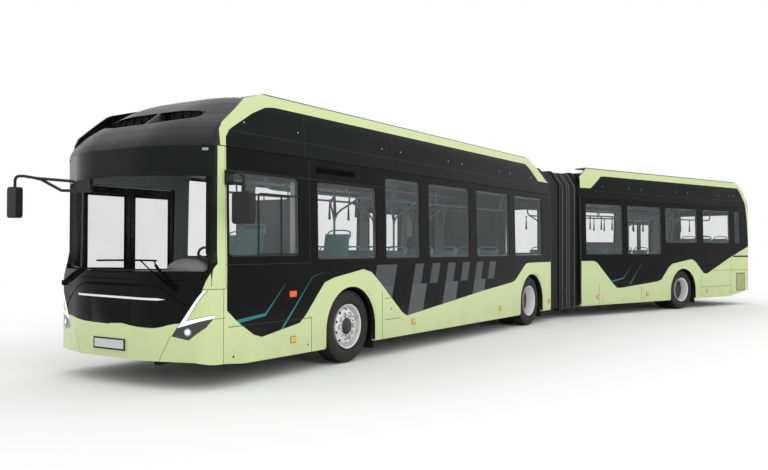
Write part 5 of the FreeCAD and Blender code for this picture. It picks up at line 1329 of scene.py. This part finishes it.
# Linings. Grey ceiling coves with pale light strips, a moulded cover behind the driver's window, and
# the hood of the driver's dials.
for section, fore, aft in (("front", -2.2, 6.95), ("rear", .90, 7.6)):
    coves = []
    strips = []
    for hand in (1, -1):
        low, high = sorted((hand * .82, hand * 1.165))
        coves.append(boxed("cove", (low, fore, 2.50), (high, aft, 2.585), .035, 3))
        low, high = sorted((hand * .70, hand * .78))
        strips.append(boxed("strip", (low, fore + .3, 2.573), (high, aft - .3, 2.588), .005))
    fit(section + "_ceiling_coves", coves, section + "_body", dark_lining)
    fit(section + "_light_strips", strips, section + "_body", pale_lining)
cover = [boxed("cover", (1.10, -1.045 + .045 * n, 1.36), (1.175, -1.005 + .045 * n, 2.30), .015,
               2) for n in range(3)]
fit("cab_corner_cover", cover, "front_body", pale_lining)
bpy.ops.mesh.primitive_uv_sphere_add(segments=32, ring_count=16, radius=1)
hood = bpy.context.object
hood.name = "dial_hood"
for vertex in hood.data.vertices:
    across, deep, up = vertex.co
    vertex.co = (.84 + across * .33, -2.42 + deep * .12, 1.24 + max(up, -.05) * .15)
smooth(hood, 60)
hood_grey = plain("hood_grey", (.16, .165, .16, 1), (.21, .215, .21, 1), 0.45, 6, 0.3)
settle(hood, "front_body", hood_grey)

# Bellows. Coated fabric in outward folds round the gangway, sewn to thin frames, open at the
# bottom. It hangs on the two portals and on the hoop between them.
folds = 11
rows_per_fold = 6
half_outline = [(1.19, .215), (1.19, .8), (1.19, 1.4), (1.19, 2.0), (1.19, 2.6), (1.188, 2.80),
                (1.175, 2.865),
                (1.09, 2.99), (1.02, 3.095), (.975, 3.138), (.92, 3.148), (.6, 3.15), (.3, 3.15), (.02, 3.15)]
gangway = half_outline + [(-across, up) for across, up in reversed(half_outline)]


def fold_rows(start, end):
    rows = []
    for row in range(folds * rows_per_fold + 1):
        share = row / (folds * rows_per_fold)
        phase = row % rows_per_fold / rows_per_fold
        dip = 0.026 * (1 - math.sin(math.pi * phase) ** 0.7)
        turn = start[0] + (end[0] - start[0]) * share
        back = start[1] + (end[1] - start[1]) * share
        rows.append((turn, back, dip))
    return rows


def fabric(name, start, end):
    rows = []
    for turn, back, dip in fold_rows(start, end):
        place = Matrix.Translation(pivot_start) @ Matrix.Rotation(turn, 4, "Z")
        inward = 1 - dip / 1.19
        rows.append([place @ Vector((side * inward, back, up if up < 2.7 else up - dip)) for side,
                     up in gangway])
    piece = sheet(name, rows)
    edit(normals_make_consistent={"inside": False})
    modified(piece, "SOLIDIFY", thickness=0.004, offset=-1)
    return piece


def sewn_frame(turn, back):
    """A thin frame round the gangway, at a turn and a distance from the pivot."""
    place = Matrix.Translation(pivot_start) @ Matrix.Rotation(turn, 4, "Z")
    points = [place @ Vector((side * 1.003, back, up)) for side, up in gangway]
    return bar("frame", points, .0055, 2)


front_reach = pivot_back - front_end
hoop_half = .025
fabric_pieces = [
    fabric("fabric_front", (0, -front_reach + .001), (-bend / 2, -hoop_half - .001)),
    fabric("fabric_rear", (-bend / 2, hoop_half + .001), (-bend, rear_start - .001)),
]
frame_pieces = [sewn_frame(-bend * share, back) for share,
                back in ((.60, .17), (.73, .375), (.80, .47), (.93, .675))]
coated_cloth = plain("coated_cloth", (.014, .014, .015, 1), (.028, .028, .029, 1), 0.55, 5.0, 0.15, 0.2,
                     260.0,
                     height=0.0008, IOR=1.3)
for piece in fabric_pieces:
    piece.data.materials.append(coated_cloth.material)
for piece in frame_pieces:
    piece.data.materials.append(frame_metal.material)
bellows = join("bellows_fabric", fabric_pieces + frame_pieces)
smooth(bellows, 60)
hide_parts("bellows")
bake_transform(bellows)

# Floor and backdrop, pale and plain. The floor is painted light grey round the bus, as painted
# shade, and turns white and fades into the sky far from it.
bpy.ops.mesh.primitive_plane_add(size=400, location=(0, 0, 0))
ground = bpy.context.object
ground.name = "studio_floor"
studio = Finish("studio_white", Roughness=0.8, IOR=1.2)
vector, x, y, z = studio.position((pivot_start.x, pivot_start.y - 2.5, 0))
away = ((x / 4) * (x / 4) + (y / 11.5) * (y / 11.5)).math("SQRT")
# Grey near the bus and white far off: painted shade on the floor.
far = away.above(1.25, .7)
studio.set(Base_Color=studio.mix(far, (.92, .92, .92, 1), (1, 1, 1, 1)))
ground.data.materials.append(studio.material)
bpy.context.scene.view_settings.view_transform = "Standard"

# Lights. A white sky all round, a broad weak light overhead, and a smaller and stronger one from the
# left.
world = bpy.data.worlds.new("studio_sky")
bpy.context.scene.world = world
world.use_nodes = True
world.node_tree.nodes["Background"].inputs["Color"].default_value = (1, 1, 1, 1)
world.node_tree.nodes["Background"].inputs["Strength"].default_value = 1.0


def area_light(name, location, target, size, power):
    bpy.ops.object.light_add(type="AREA", location=location)
    lamp = bpy.context.object
    lamp.name = name
    lamp.data.size = size
    lamp.data.energy = power
    lamp.rotation_euler = (Vector(target) - Vector(location)).to_track_quat("-Z", "Y").to_euler()
    return lamp


area_light("overhead", (2, -4, 14), (0, -2, 0), 16, 100)
area_light("left_side", (14, -10, 7), (0, -3, 1.2), 9, 400)

# Camera. It stands low to the front left of the bus, as the photographer's did.
bpy.ops.object.camera_add()
camera = bpy.context.object
camera.name = "photographer"
eye = front_place @ Vector((7.2826, -8.3493, 1.5162))
turn, lift, roll = math.radians(33.372), .01464, .00227
forward = Vector((-math.sin(turn) * math.cos(lift), math.cos(turn) * math.cos(lift), math.sin(lift)))
level = Vector((math.cos(turn), math.sin(turn), 0))
upright = level.cross(forward)
right = level * math.cos(roll) + upright * math.sin(roll)
top = -level * math.sin(roll) + upright * math.cos(roll)
camera.matrix_world = Matrix.Translation(eye) @ Matrix((right, top, -forward)).transposed().to_4x4()
camera.data.sensor_width = 36
camera.data.lens = 784.39 * 36 / 768
camera.data.shift_y = .59 / 768
camera.data.clip_end = 300
bpy.context.scene.camera = camera
